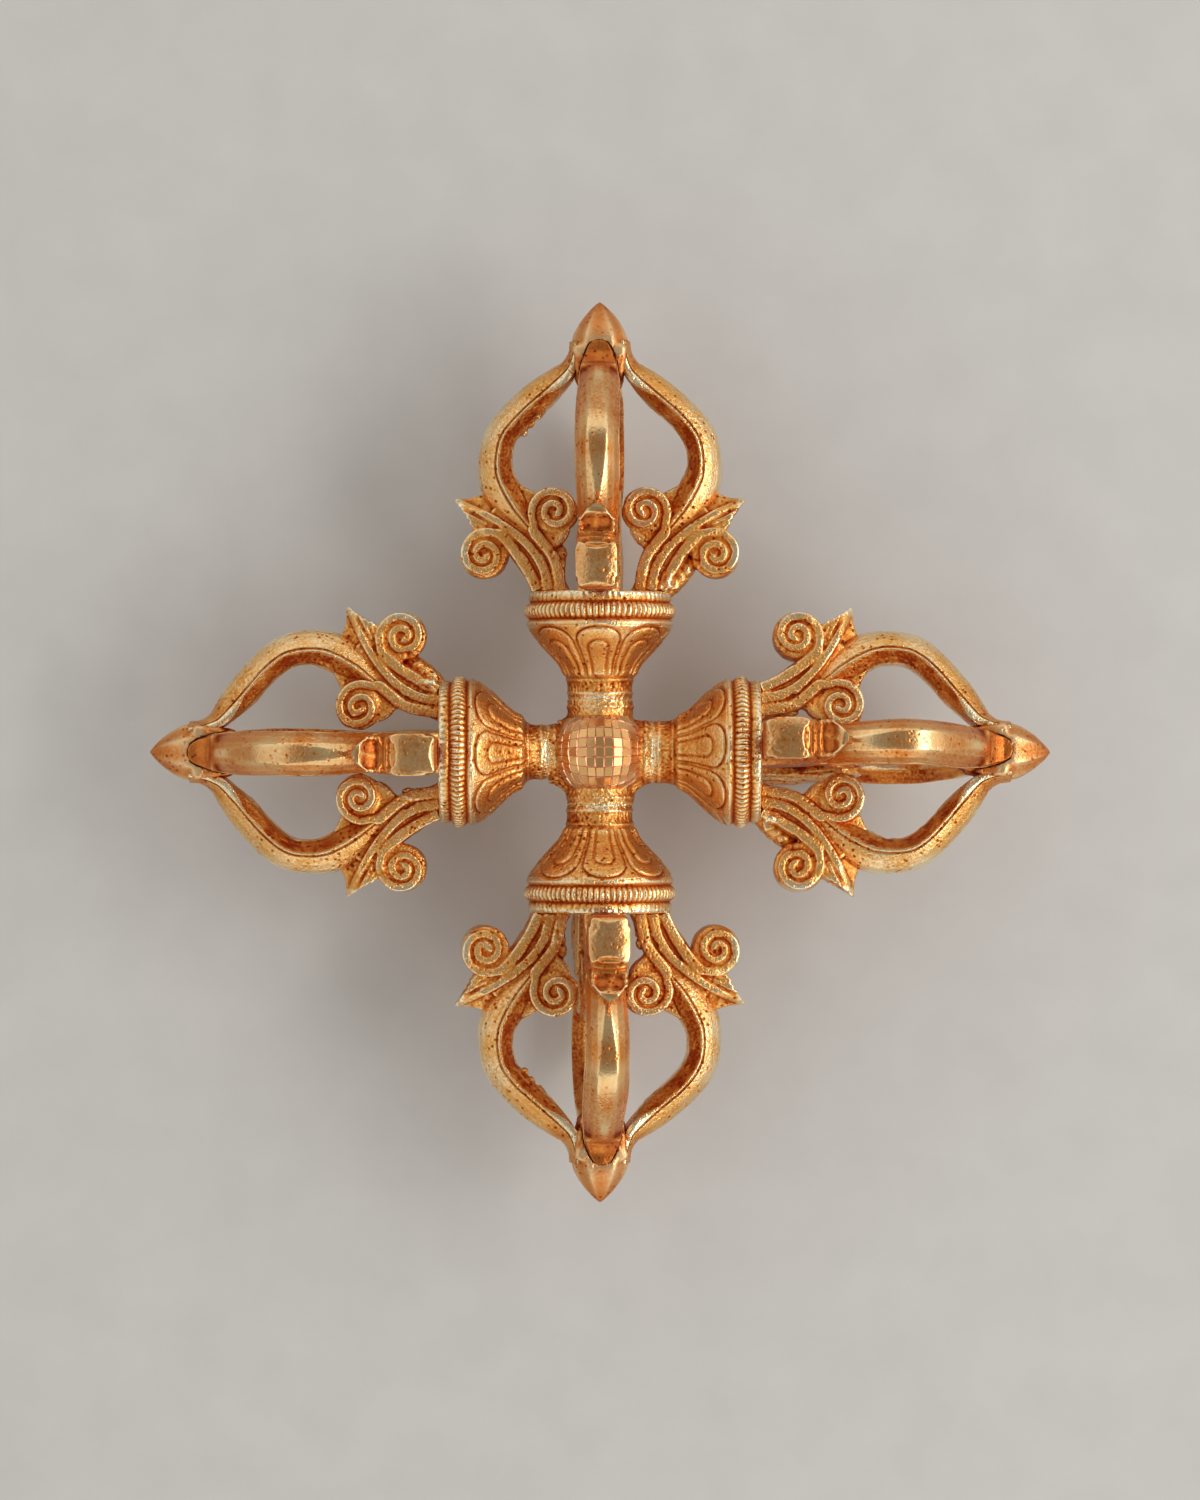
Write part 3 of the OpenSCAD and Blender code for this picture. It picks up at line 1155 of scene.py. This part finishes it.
    def wear_volute(self, mesh: bpy.types.Mesh) -> None:
        """Rubs the volute's outer side to a nearly flat cushion that sits close to the lotus base.

        Args:
            mesh: stem in the prong's own frame.
        """
        w0, v0 = self.outer_at
        for vert in mesh.vertices:
            w, t, v = vert.co
            level = v0 + self.outer_r - 0.5 - 0.03 * (w - w0) ** 2 - 0.06 * t * t
            if w < w0 + self.outer_r and v > level:
                vert.co.z = level + 0.08 * (v - level)
            vert.co.x -= self.drop * smooth_step(12.0, 17.0, v)

    def roughen(self, mesh: bpy.types.Mesh, casting: Casting) -> None:
        """Leaves the inner sides as they came from the mould, lumpy and pitted.

        Args:
            mesh: prong in its own frame.
            casting: way in which the prong left its mould.
        """
        flaws = [] if casting is Casting.RUBBED else self.flaws(casting)

        def lumps(spot: Vector, way: Vector) -> float:
            """Works out the lumps at a point of the prong.

            Args:
                spot: place of the point.
                way: normal there.

            Returns:
                How far it stands out.
            """
            foot = 0.7 * smooth_step(6.0, 3.0, spot.x) * abs(way.z)
            share = max(smooth_step(0.1, 0.8, -way.z), foot)
            for w, v, along, *_ in flaws:
                share = max(share, 2.2 * smooth_step(1.5, 0.8, math.dist((w, v), spot.xz) / along))
            if share <= 0 or spot.x <= 0.3:
                return 0.0
            seed = spot + Vector((0, 0, 37.0 * casting.value))
            patch = smooth_step(-0.3, 0.5, noise.noise(seed / 4.0))
            return share * patch * rough_skin(seed, self.skin)

        raise_skin(mesh, lumps)

    def unburnished_and_painted_shade(self, spots: np.ndarray, ways: np.ndarray) -> np.ndarray:
        """What is taken off the relief: the inner sides stay red, and as they face into the arm
        they get painted shade too; the volute's crest is polished.

        Args:
            spots: places in the prong's own frame.
            ways: normals there.

        Returns:
            The share for each place.
        """
        # Painted shade on the inner sides, which face the arm's axis, over their real unburnished
        # red
        inner = 0.15 * np.clip((-ways[:, 2] - 0.05) / 0.5, 0, 1)
        crest = 0.22 * (spots[:, 0] < 7.6) * np.clip((spots[:, 2] - 21.4) / 0.6, 0, 1)
        crest += 0.24 * (spots[:, 0] > 11.6) * np.clip((spots[:, 2] - 22.5) / 0.6, 0, 1)
        return inner - crest + 0.05 * np.clip((spots[:, 0] - 36.0) / 0.8, 0, 1)

    def build(self, casting: Casting) -> bpy.types.Mesh:
        """Casts a prong.

        Args:
            casting: way in which it leaves its mould.

        Returns:
            The prong in its own frame, in millimetres.
        """
        rubbed = casting is Casting.RUBBED
        wax = Wax()
        self.add_stem(wax, casting)
        self.add_leaf(wax)
        self.add_straps(wax)
        self.add_flaws(wax, casting)
        stem = wax.cast("stem", self.grain, 1)
        self.finish_leaf(stem)
        if rubbed:
            self.wear_volute(stem)
        bar = Wax()
        rows = self.bar_rows(rubbed)
        bar.bar([self.section(row[0], rubbed) for row in rows], frames_along(rows))
        mesh = join(stem, bar.solid("bar"), Join.ADD)
        self.roughen(mesh, casting)
        mark_relief(mesh, *self.marks, self.unburnished_and_painted_shade)
        return mesh

    def dress(self, mesh: bpy.types.Mesh, arm: Arm, side: Side, metal: bpy.types.Material) -> None:
        """Lays a copy of a prong on an arm.

        Args:
            mesh: prong in its own frame.
            arm: arm that it belongs to.
            side: its place round the arm.
            metal: material.
        """
        lay(mesh.copy(), side.place(arm), arm.node(f"{side.name.lower()}_prong"), metal)


@dataclass(frozen=True)
class LotusBase:
    """Lotus base of an arm: ringed neck, cup of eight petals, beaded ring and ribbed band."""

    seat: float = 8.8  # start of the neck, on the hub
    neck_r: float = 5.2
    cup_at: float = 12.4  # start and length of the petal cup
    cup_len: float = 8.6
    cup_r: float = 12.0
    bead_at: float = 22.2  # start and width of the beaded ring
    bead_w: float = 2.5
    bead_r: float = 12.7
    band_at: float = 25.75  # middle and half width of the ribbed band
    band_half: float = 0.9
    band_r: float = 11.9
    band_edge: float = 0.55  # how far the band falls at its edges
    # Place, height and width of each ring on the neck and on the cup
    neck_rings: tuple[tuple[float, float, float], ...] = (
        (9.75, 0.30, 0.22), (12.0, 0.24, 0.25), (8.8, -0.25, 0.2), (12.8, 0.34, 1.0),
    )
    cup_rings: tuple[tuple[float, float, float], ...] = (
        (12.8, 0.34, 1.0), (21.35, 0.35, 0.4), (22.15, -0.25, 0.2),
    )
    petals: int = 8
    beads: int = 80
    ribs: int = 68
    skin: Waves = ((0.20, 0.42), (0.12, 1.3))  # roughness of the neck
    steps: int = 400  # faces round the base
    pitch: float = 0.215  # length of its faces
    marks: tuple[int, float] = (24, 0.26)  # rounds and height of the relief marks

    def radius(self, u: float) -> float:
        """Radius of the turned body at a distance from the hub's centre.

        Args:
            u: distance along the arm.

        Returns:
            The radius, before petals, beads and ribs.
        """
        if u < self.cup_at:
            return self.neck_r - 0.12 + rings_at(u, self.neck_rings)
        share = min((u - self.cup_at) / self.cup_len, 1.0)
        spread = 0.6 * share + 0.2 * (1 - math.cos(math.pi * share))
        if u < self.bead_at:
            return self.neck_r + (self.cup_r - self.neck_r) * spread + rings_at(u, self.cup_rings)
        middle = self.bead_at + self.bead_w / 2
        if u < self.bead_at + self.bead_w:
            across, low = (u - middle) / (self.bead_w / 2), self.cup_r - 0.35
            return low + (self.bead_r - low) * math.sqrt(1 - 0.97 * across**2)
        across = (u - self.band_at) / self.band_half
        fall = 1 - math.sqrt(max(0.0, 1 - across**4))
        return self.band_r - self.band_edge * fall

    def petal(self, u: float, turn: float) -> float:
        """Height of the petals over the cup.

        Args:
            u: distance along the arm.
            turn: angle about the arm from the front, in radians.

        Returns:
            Height above the cup.
        """
        share = (u - self.cup_at) / self.cup_len
        if not 0.0 < share < 1.0:
            return 0.0
        slice_turn = 2 * math.pi / self.petals
        local = ((turn / slice_turn + 0.5) % 1.0 - 0.5) * 2
        half = self.radius(u) * math.pi / self.petals
        slant = self.cup_len * 1.27
        across = abs(local) * half
        end = 0.655 + 0.30 * math.sqrt(max(0.0, 1 - (local / 0.93) ** 2))
        inside = min(0.90 * half - across, (end - share) * slant)
        # The petal in a sunk line, the row behind between the tips, and the rib between two petals
        height = 0.30 * smooth_step(-0.15, 0.35, inside) - 0.20 * bump(inside + 0.12, 0.22)
        height += 0.26 * smooth_step(0.25, 0.7, -inside) * smooth_step(0.6, 0.7, share)
        height += 0.16 * bump(half - across, 0.16) * smooth_step(0.75, 0.6, share)
        # A tongue in the petal, in a sunk line of its own
        tongue = 0.50 * half
        top = 0.72 - tongue / slant
        beyond = max(share - top, 0.0) * slant
        lobe = math.hypot(across, beyond) - tongue
        height += -0.30 * bump(lobe, 0.22) + 0.10 * smooth_step(-0.2, -0.6, lobe)
        return height * smooth_step(0.0, 0.08, share)

    def relief(self, u: float, turn: float) -> float:
        """Height of all ornament over the turned body.

        Args:
            u: distance along the arm.
            turn: angle about the arm from the front, in radians.

        Returns:
            Height outwards.
        """
        if u < self.cup_at:
            spot = Vector((u, 5 * math.cos(turn), 5 * math.sin(turn)))
            rough = rough_skin(spot, self.skin) * (1 - bump(u - 9.75, 0.3))
            return rough * smooth_step(12.0, 11.7, u)
        if u < self.bead_at:
            return self.petal(u, turn)
        if u < self.bead_at + self.bead_w:
            gap = 1 - abs(math.sin(turn * self.beads / 2))
            across = (u - self.bead_at - self.bead_w / 2) / (self.bead_w / 2)
            return -0.42 * gap**1.5 * max(0.0, 1 - 0.3 * across**2)
        if u < LOTUS_TOP - 0.1:
            gap = 1 - abs(math.sin(turn * self.ribs / 2))
            wear = 2.2 * abs(noise.noise((8 * math.cos(turn), 8 * math.sin(turn), 3.0)))
            rough = 0.09 * noise.noise((u / 0.6, 18 * math.cos(turn), 18 * math.sin(turn)))
            return rough - 0.26 * gap**1.5 * (0.12 + 0.6 * smooth_step(0.25, 0.8, wear))
        return 0.0

    def build(self) -> bpy.types.Mesh:
        """Turns the base and chases its ornament.

        Returns:
            The base in the arm's frame, in millimetres.
        """
        bm = bmesh.new()
        top, first, last = LOTUS_TOP, self.seat - 0.4, LOTUS_TOP - 0.1
        line = [(first, 0.0), (first, 3.0)]
        count = round((last - first) / self.pitch)
        for k in range(count + 1):
            u = first + (last - first) * k / count
            line.append((u, self.radius(u)))
        line += [(top, r) for r in (self.band_r - 0.8, 10.0, 8.0, 5.0, 2.5, 0.0)]
        verts = [bm.verts.new((u, 0, r)) for u, r in line]
        edges = [bm.edges.new(pair) for pair in zip(verts, verts[1:])]
        bmesh.ops.spin(
            bm, geom=[*verts, *edges], cent=(0, 0, 0), axis=(1, 0, 0), angle=2 * math.pi,
            steps=self.steps, use_merge=True,
        )
        bmesh.ops.remove_doubles(bm, verts=bm.verts, dist=0.0005)
        bmesh.ops.recalc_face_normals(bm, faces=bm.faces)
        for vert in bm.verts:
            u, y, z = vert.co
            radius = math.hypot(y, z)
            if radius > 4.0 and u < top - 0.01:
                grow = 1 + self.relief(u, math.atan2(y, z)) / radius
                vert.co = (u, y * grow, z * grow)
        mesh = bpy.data.meshes.new("lotus_base")
        bm.to_mesh(mesh)
        bm.free()
        mark_relief(mesh, *self.marks, self.unburnished_and_painted_shade)
        return mesh

    def unburnished_and_painted_shade(self, spots: np.ndarray, ways: np.ndarray) -> np.ndarray:
        """What is taken off the relief of the neck: painted shade on its sides and a little painted
        light on what faces front or back.

        Args:
            spots: places in the arm's frame.
            ways: normals there.

        Returns:
            The share for each place.
        """
        # Painted shade on the neck's sides, and painted light where it faces front or back
        return (0.16 - 0.22 * ways[:, 2] ** 2) * np.clip((12.3 - spots[:, 0]) / 0.6, 0, 1)

    def dress(self, mesh: bpy.types.Mesh, arm: Arm, metal: bpy.types.Material) -> None:
        """Puts a copy of the base on an arm.

        Args:
            mesh: base in the arm's frame.
            arm: arm that it belongs to.
            metal: material.
        """
        copy = mesh.copy()
        for vert in copy.vertices:
            share = 1 + (arm.neck - 1) * smooth_step(13.2, 11.6, vert.co.x)
            flat = 1 - (1 - arm.flat) * smooth_step(12.4, 9.0, vert.co.x)
            vert.co = (vert.co.x, vert.co.y * share, vert.co.z * share * flat)
        lay(copy, arm.place(), arm.node("lotus_base"), metal)


@dataclass(frozen=True)
class CentreProng:
    """Square bar on the arm's axis that swells into the four-sided bud at the arm's end."""

    bar_w: float = 4.2  # width of the bar
    bar_rows: int = 41  # rows of the bar, and the distance between them
    bar_pitch: float = 0.815
    sunk: float = 0.4  # how far it starts below the top of the lotus base
    flat: float = 0.48  # share of each side that its chamfers leave
    tip_w: float = 9.2  # width of the bud
    swell: float = 9.0  # length over which the bar swells
    shoulder: float = 41.6  # widest place of the bud
    reach: float = 48.3  # point of the bud
    full: float = 0.85  # share of the chamfers that the swell fills
    filled: tuple[float, float] = (32.4, 34.0)  # where it fills them
    filed: tuple[float, float] = (41.8, 40.4)  # from where they are open again, backwards
    seat_v: float = 3.4  # depth of the pockets, from the arm's axis
    clear_v: float = 9.0  # place outside the bud
    pocket_at: tuple[float, float] = (33.0, 39.2)  # start for a rubbed prong and for the others
    gap: float = 0.17  # room round a prong's end
    skin: Waves = ((0.30, 0.8), (0.30, 1.7))  # roughness between the prongs
    marks: tuple[int, float] = (30, 0.24)  # rounds and height of the relief marks

    def bud(self) -> bpy.types.Mesh:
        """Files the bar and its bud.

        Returns:
            The piece from the top of the lotus base, before its pockets are cut.
        """
        flat = self.flat
        corners = [(1, -flat), (1, flat), (flat, 1), (-flat, 1), (-1, flat), (-1, -flat)]
        corners += [(-flat, -1), (flat, -1), (1, -flat)]
        outline = spaced(corners, 0.075)[:-1]
        rows = [(self.bar_pitch * k - self.sunk, self.bar_w / 2) for k in range(self.bar_rows)]
        for k in range(29):
            share = k / 28
            rise = math.sqrt(math.sin(math.pi / 2 * share))
            half = self.bar_w + (self.tip_w - self.bar_w) * rise
            rows.append((self.shoulder - self.swell * (1 - share), half / 2))
        for k in range(1, 29):
            share = math.sin(math.pi / 2 * k / 28.6)
            half = self.tip_w / 2 * (1 - share**1.6) ** 0.86
            rows.append((self.shoulder + (self.reach - self.shoulder) * share, half))
        frames = [Matrix.Translation((w, 0, 0)) @ Matrix.Diagonal((1, h, h, 1)) for w, h in rows]
        sections = []
        for w, _ in rows:
            full = self.full * smooth_step(*self.filled, w) * smooth_step(*self.filed, w)
            grow = [1 - full + full / max(abs(y), abs(z)) for y, z in outline]
            sections.append([(y * g, z * g) for (y, z), g in zip(outline, grow)])
        wax = Wax()
        wax.bar(sections, frames)
        return wax.solid("bud", 2)

    def pocket(self, side: Side) -> bpy.types.Mesh:
        """Shapes the room for a prong's end, a hair wider than the end.

        Args:
            side: prong that lies in it.

        Returns:
            A closed mesh to cut with.
        """
        rubbed = side in (Side.FRONT, Side.REAR)
        start, gap = (self.pocket_at[0], self.gap) if rubbed else (self.pocket_at[1], self.gap / 3)
        rows = [row for row in Prong().bar_rows(rubbed) if row[0] > start]
        edge = [(row[0], row[3] / 2 + gap) for row in rows]
        edge.append((rows[-1][0] + gap, 0.0))
        outline = [*edge, *[(w, -half) for w, half in reversed(edge[:-1])]]
        wax = Wax()
        turn = Matrix.Rotation(math.radians(90 * side.value), 4, "X")
        flat = Matrix(((0, 1, 0, 0), (0, 0, 1, 0), (1, 0, 0, 0), (0, 0, 0, 1)))
        frames = [turn @ Matrix.Translation((0, 0, v)) @ flat for v in (self.seat_v, self.clear_v)]
        wax.bar([outline] * 2, frames)
        return wax.solid("pocket")

    def unburnished_and_painted_shade(self, spots: np.ndarray, ways: np.ndarray) -> np.ndarray:
        """What is taken off the relief of the swell between the prongs and of the pockets, and
        painted shade on the faces that look back towards the hub.

        Args:
            spots: places from the top of the lotus base.
            ways: normals there.

        Returns:
            The share for each place.
        """
        # Painted shade on the faces that look back towards the hub
        back = np.clip(-ways[:, 0], 0, 1) * 0.3
        web = 0.42 * np.clip((spots[:, 0] - 31.6) / 1.2, 0, 1) - 0.08
        return web * np.clip((39.6 - spots[:, 0]) / 1.0, 0, 1) + back

    def rise(self, spot: Vector, _way: Vector) -> float:
        """Height of the rough skin: full on the swell, less on the bar, none on the bud."""
        share = smooth_step(40.2, 38.8, spot.x) * (0.4 + 0.6 * smooth_step(32.2, 33.4, spot.x))
        return share * rough_skin(spot, self.skin)

    def build(self) -> bpy.types.Mesh:
        """Cuts the pockets and leaves the swell between them rough.

        Returns:
            The piece from the top of the lotus base, in millimetres.
        """
        mesh = self.bud()
        for side in Side:
            mesh = join(mesh, self.pocket(side), Join.CUT)
        raise_skin(mesh, self.rise)
        mark_relief(mesh, *self.marks, self.unburnished_and_painted_shade)
        return mesh

    def dress(self, mesh: bpy.types.Mesh, arm: Arm, metal: bpy.types.Material) -> None:
        """Puts a copy of the centre prong on an arm.

        Args:
            mesh: piece from the top of the lotus base.
            arm: arm that it belongs to.
            metal: material.
        """
        place, node = Side.FRONT.place(arm), arm.node("centre_prong")
        lay(mesh.copy(), place, node, metal)


@dataclass(frozen=True)
class Hub:
    """Ball with four neck stubs, engraved front and back with a net of lines."""

    ball_r: float = 8.1  # radius of the ball in the plane of the arms
    front: float = 7.6  # its height in front and behind
    square: float = 2.25  # power of its outline, 2 for a plain ball
    neck_r: float = 5.2
    seat: float = 8.8  # end of the neck stubs
    fillets: tuple[float, ...] = (1.2, 2.0, 3.6, 3.9)  # radius of the corner after each arm
    web_h: float = 7.0  # height of the corners
    pitch: tuple[float, float] = (11.4, 12.6)  # degrees from line to line, across and upwards
    cells: tuple[int, int] = (11, 9)  # facets of a cap, across and upwards
    line: float = 0.13  # half width and depth of an engraved line
    sink: float = 0.085
    tilt: tuple[float, float] = (0.4, 3.0)  # least and greatest tilt of a facet, in degrees
    cap_wall: float = 1.2  # thickness of a cap
    cap_rise: float = 0.25  # how far it stands above the cast ball
    cap_marks: tuple[float, float] = (0.56, 0.40)  # relief of facets and of lines
    skin: Waves = ((0.16, 0.5), (0.16, 2.0))  # roughness of the cast body
    grain: float = 0.15  # length of its faces
    marks: tuple[int, float] = (30, 0.30)  # rounds and height of the relief marks

    def add_neck(self, wax: Wax, arm: Arm) -> None:
        """Adds the stub of a neck, with a fine raised line near the ball.

        Args:
            wax: wax to add to.
            arm: arm that it leads to.
        """
        circle = [(math.cos(math.pi * k / 32), math.sin(math.pi * k / 32)) for k in range(64)]
        rows = [(0.0, 0.0), (7.25, 0.0), (7.4, 0.2), (7.65, 0.2), (7.8, 0.0), (self.seat, 0.0)]
        frames = []
        for u, rise in rows:
            radius = self.neck_r * arm.neck + rise
            size = Matrix.Diagonal((1, radius, radius * arm.flat, 1))
            frames.append(arm.place() @ Matrix.Translation((u, 0, 0)) @ size)
        wax.bar([circle] * len(frames), frames)

    def add_corner(self, wax: Wax, arm: Arm) -> None:
        """Adds the rough metal in the corner between an arm and the next, hollow like a saddle.

        Args:
            wax: wax to add to.
            arm: arm that comes first, counter-clockwise.
        """
        quarter = Matrix.Rotation(math.pi / 2 * arm.value, 4, "Z")
        upright = Matrix.Rotation(math.pi / 2, 4, "Y")
        sections, frames = [], []
        for k in range(-9, 10):
            level = self.web_h / 2 * math.sin(math.pi * k / 20)
            corner = self.neck_r * math.cos(math.pi * k / 20)
            fillet = self.fillets[arm.value] * corner / self.neck_r
            arc = [(0.5, 0.5)]
            for angle in range(0, 91, 10):
                turn = math.radians(angle)
                across, along = 1 - math.cos(turn), 1 - math.sin(turn)
                arc.append((corner + fillet * across, corner + fillet * along))
            sections.append(arc)
            frames.append(quarter @ Matrix.Translation((0, 0, level)) @ upright)
        wax.bar(sections, frames)

    def on_ball(self, way: Vector) -> Vector:
        """Where a direction from the centre meets the ball.

        Args:
            way: the direction, of any length.

        Returns:
            The place on the ball, which is a little flat in front and behind.
        """
        across, along = way.xy.length / self.ball_r, abs(way.z) / self.front
        return way * (across**self.square + along**self.square) ** (-1 / self.square)

    def core(self) -> bpy.types.Mesh:
        """Casts the body under the engraved caps.

        Returns:
            Ball, neck stubs and the rough corners between them, in millimetres.
        """
        wax = Wax()
        bmesh.ops.create_uvsphere(wax.bm, u_segments=64, v_segments=40, radius=1)
        wax.move(lambda spot: self.on_ball(spot) * (1 - self.cap_rise / self.ball_r))
        for arm in Arm:
            self.add_neck(wax, arm)
            self.add_corner(wax, arm)
        mesh = wax.cast("hub", self.grain, 3)
        raise_skin(mesh, lambda spot, _: rough_skin(spot, self.skin))
        return mesh

    def add_cap(self, bm: bmesh.types.BMesh, side: Side) -> None:
        """Adds an engraved cap to a mesh.

        Args:
            bm: mesh to add to.
            side: front or rear.
        """
        wide, high = [math.radians(p * c / 2) for p, c in zip(self.pitch, self.cells)]
        cap = bmesh.new()
        marks = cap.verts.layers.float.new("relief")
        bmesh.ops.create_grid(cap, x_segments=self.cells[0], y_segments=self.cells[1], size=1)
        for vert in cap.verts:
            x, y, _ = vert.co
            vert.co = self.on_ball(Vector((math.tan(wide * x), math.tan(high * y), 1)))
        lines, cells = list(cap.verts), list(cap.faces)
        bmesh.ops.inset_individual(cap, faces=cells, thickness=self.line, use_even_offset=True)
        dice = random.Random(3 if side is Side.FRONT else 5)
        for cell in cells:
            middle = cell.calc_center_median()
            axis = Vector((dice.uniform(-1, 1), dice.uniform(-1, 1), 0))
            tilt = Matrix.Rotation(math.radians(dice.uniform(*self.tilt)), 3, axis)
            bmesh.ops.rotate(cap, cent=middle, matrix=tilt, verts=cell.verts)
        for vert in cap.verts:
            vert[marks] = self.cap_marks[0]
        for vert in lines:
            vert.co = vert.co * (1 - self.sink / self.ball_r)
            vert[marks] = self.cap_marks[1]
        for face in cap.faces:
            face.material_index = 2
        for cell in cells:
            cell.material_index = 1
        bmesh.ops.recalc_face_normals(cap, faces=cap.faces)
        bmesh.ops.solidify(cap, geom=list(cap.faces), thickness=self.cap_wall)
        turn = Matrix.Rotation(math.radians(90 * side.value), 3, "X")
        bmesh.ops.rotate(cap, cent=(0, 0, 0), matrix=turn, verts=cap.verts)
        mesh = bpy.data.meshes.new("cap")
        cap.to_mesh(mesh)
        cap.free()
        bm.from_mesh(mesh)
        bpy.data.meshes.remove(mesh)

    def unburnished_and_painted_shade(self, spots: np.ndarray, ways: np.ndarray) -> np.ndarray:
        """What is taken off the relief of the corners and necks, which stay rough and red, with
        painted shade towards the middle plane and painted light on what faces front or back.

        Args:
            spots: places in the part's frame.
            ways: normals there.

        Returns:
            The share for each place.
        """
        # Painted shade, darker towards the middle plane between the arms, over the real rough red;
        # painted light on what faces front or back
        level = np.clip(1 - np.abs(spots[:, 2]) / 4.0, 0, 1)
        return 0.24 * level - 0.10 * ways[:, 2] ** 2

    def dress(self, metals: Sequence[bpy.types.Material]) -> None:
        """Builds the hub and makes it a piece.

        Args:
            metals: materials of the cast body, the facets and the engraved lines.
        """
        mesh = self.core()
        mark_relief(mesh, *self.marks, self.unburnished_and_painted_shade)
        bm = bmesh.new()
        bm.from_mesh(mesh)
        for face in bm.faces:
            face.smooth = True
        for side in (Side.FRONT, Side.REAR):
            self.add_cap(bm, side)
        bm.to_mesh(mesh)
        bm.free()
        make_piece(mesh, "hub", metals)


@dataclass(frozen=True)
class Lamp:
    """Soft lamp that faces the object."""

    name: str
    at: tuple[float, float, float]  # place, in metres
    size: tuple[float, float]  # width and height, in metres
    watts: float

    def hang(self) -> None:
        """Adds the lamp to the scene."""
        light = bpy.data.lights.new(self.name, "AREA")
        light.shape = "RECTANGLE"
        light.size, light.size_y = self.size
        light.energy = self.watts
        lamp = bpy.data.objects.new(self.name, light)
        lamp.location = self.at
        lamp.rotation_euler = Vector(self.at).to_track_quat("Z", "Y").to_euler()
        bpy.context.scene.collection.objects.link(lamp)


@dataclass(frozen=True)
class Studio:
    """Pale floor, soft lamps and a camera straight above the object."""

    camera_up: float = 900.0  # height of the camera above the hub's centre
    frame_high: float = 250.0  # height of the picture at that distance
    hub_below_middle: float = 2 / 6  # how far the hub's centre lies below the picture's
    sensor: float = 36.0  # height of the camera's sensor
    floor_half: float = 4000.0
    sky: str = "#F2F0EC"  # colour and strength of the surroundings
    sky_light: float = 0.33
    lamps: tuple[Lamp, ...] = (
        Lamp("key", (0.98, -0.05, 0.88), (1.5, 0.45), 8.6),
        Lamp("fill", (-1.35, 0.10, 1.00), (3.0, 2.0), 8.5),
        Lamp("front", (0.10, -1.40, 0.62), (2.4, 1.2), 6.5),
        Lamp("back", (0.05, 1.40, 0.62), (2.4, 1.2), 5.5),
        Lamp("low", (1.40, 0.10, 0.34), (2.4, 0.6), 3.5),
    )

    def add_floor(self) -> None:
        """Lays the floor under the object's rest plane."""
        bm = bmesh.new()
        bmesh.ops.create_grid(bm, x_segments=4, y_segments=4, size=self.floor_half * MM)
        bmesh.ops.translate(bm, vec=(0, 0, -REST_HEIGHT * MM), verts=bm.verts)
        mesh = bpy.data.meshes.new("floor")
        bm.to_mesh(mesh)
        bm.free()
        mesh.materials.append(PALE_BOARD.material())
        floor = bpy.data.objects.new("floor", mesh)
        bpy.context.scene.collection.objects.link(floor)

    def add_camera(self) -> None:
        """Hangs the camera above the object, with +Y up in the picture."""
        lens = bpy.data.cameras.new("camera")
        lens.sensor_fit = "VERTICAL"
        lens.sensor_height = self.sensor
        lens.lens = self.sensor * self.camera_up / self.frame_high
        camera = bpy.data.objects.new("camera", lens)
        camera.location = (0, self.hub_below_middle * MM, self.camera_up * MM)
        bpy.context.scene.collection.objects.link(camera)
        bpy.context.scene.camera = camera

    def build(self) -> None:
        """Sets up floor, camera, lamps and the grey surroundings."""
        self.add_floor()
        self.add_camera()
        for lamp in self.lamps:
            lamp.hang()
        world = bpy.data.worlds.new("surroundings")
        world.use_nodes = True
        sky = world.node_tree.nodes["Background"].inputs
        sky["Color"].default_value, sky["Strength"].default_value = linear(self.sky), self.sky_light
        bpy.context.scene.world = world
        bpy.context.scene.view_settings.view_transform = "Standard"
        LOG.info("studio is set up")


def main() -> None:
    """Builds the dressed object and its studio."""
    logging.basicConfig(level=logging.INFO, format="%(name)s %(relativeCreated)d ms: %(message)s")
    # Vector noise starts from the clock, so it is seeded for the same hand work in each run
    noise.seed_set(HAND_SEED)
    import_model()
    cast, burnished, filed = CAST_GILT.material(), BURNISHED_GILT.material(), FILED_GILT.material()
    Studio().build()
    Hub().dress([cast, FACET_GILT.material(), GROOVE_GILT.material()])
    lotus, centre, prong = LotusBase(), CentreProng(), Prong()
    lotus_mesh, centre_mesh = lotus.build(), centre.build()
    prong_meshes = {casting: prong.build(casting) for casting in Casting}
    for arm in Arm:
        lotus.dress(lotus_mesh, arm, cast)
        centre.dress(centre_mesh, arm, filed)
        for side in Side:
            metal = burnished if side is Side.FRONT else cast
            prong.dress(prong_meshes[side.casting(arm)], arm, side, metal)


if __name__ == "__main__":
    main()
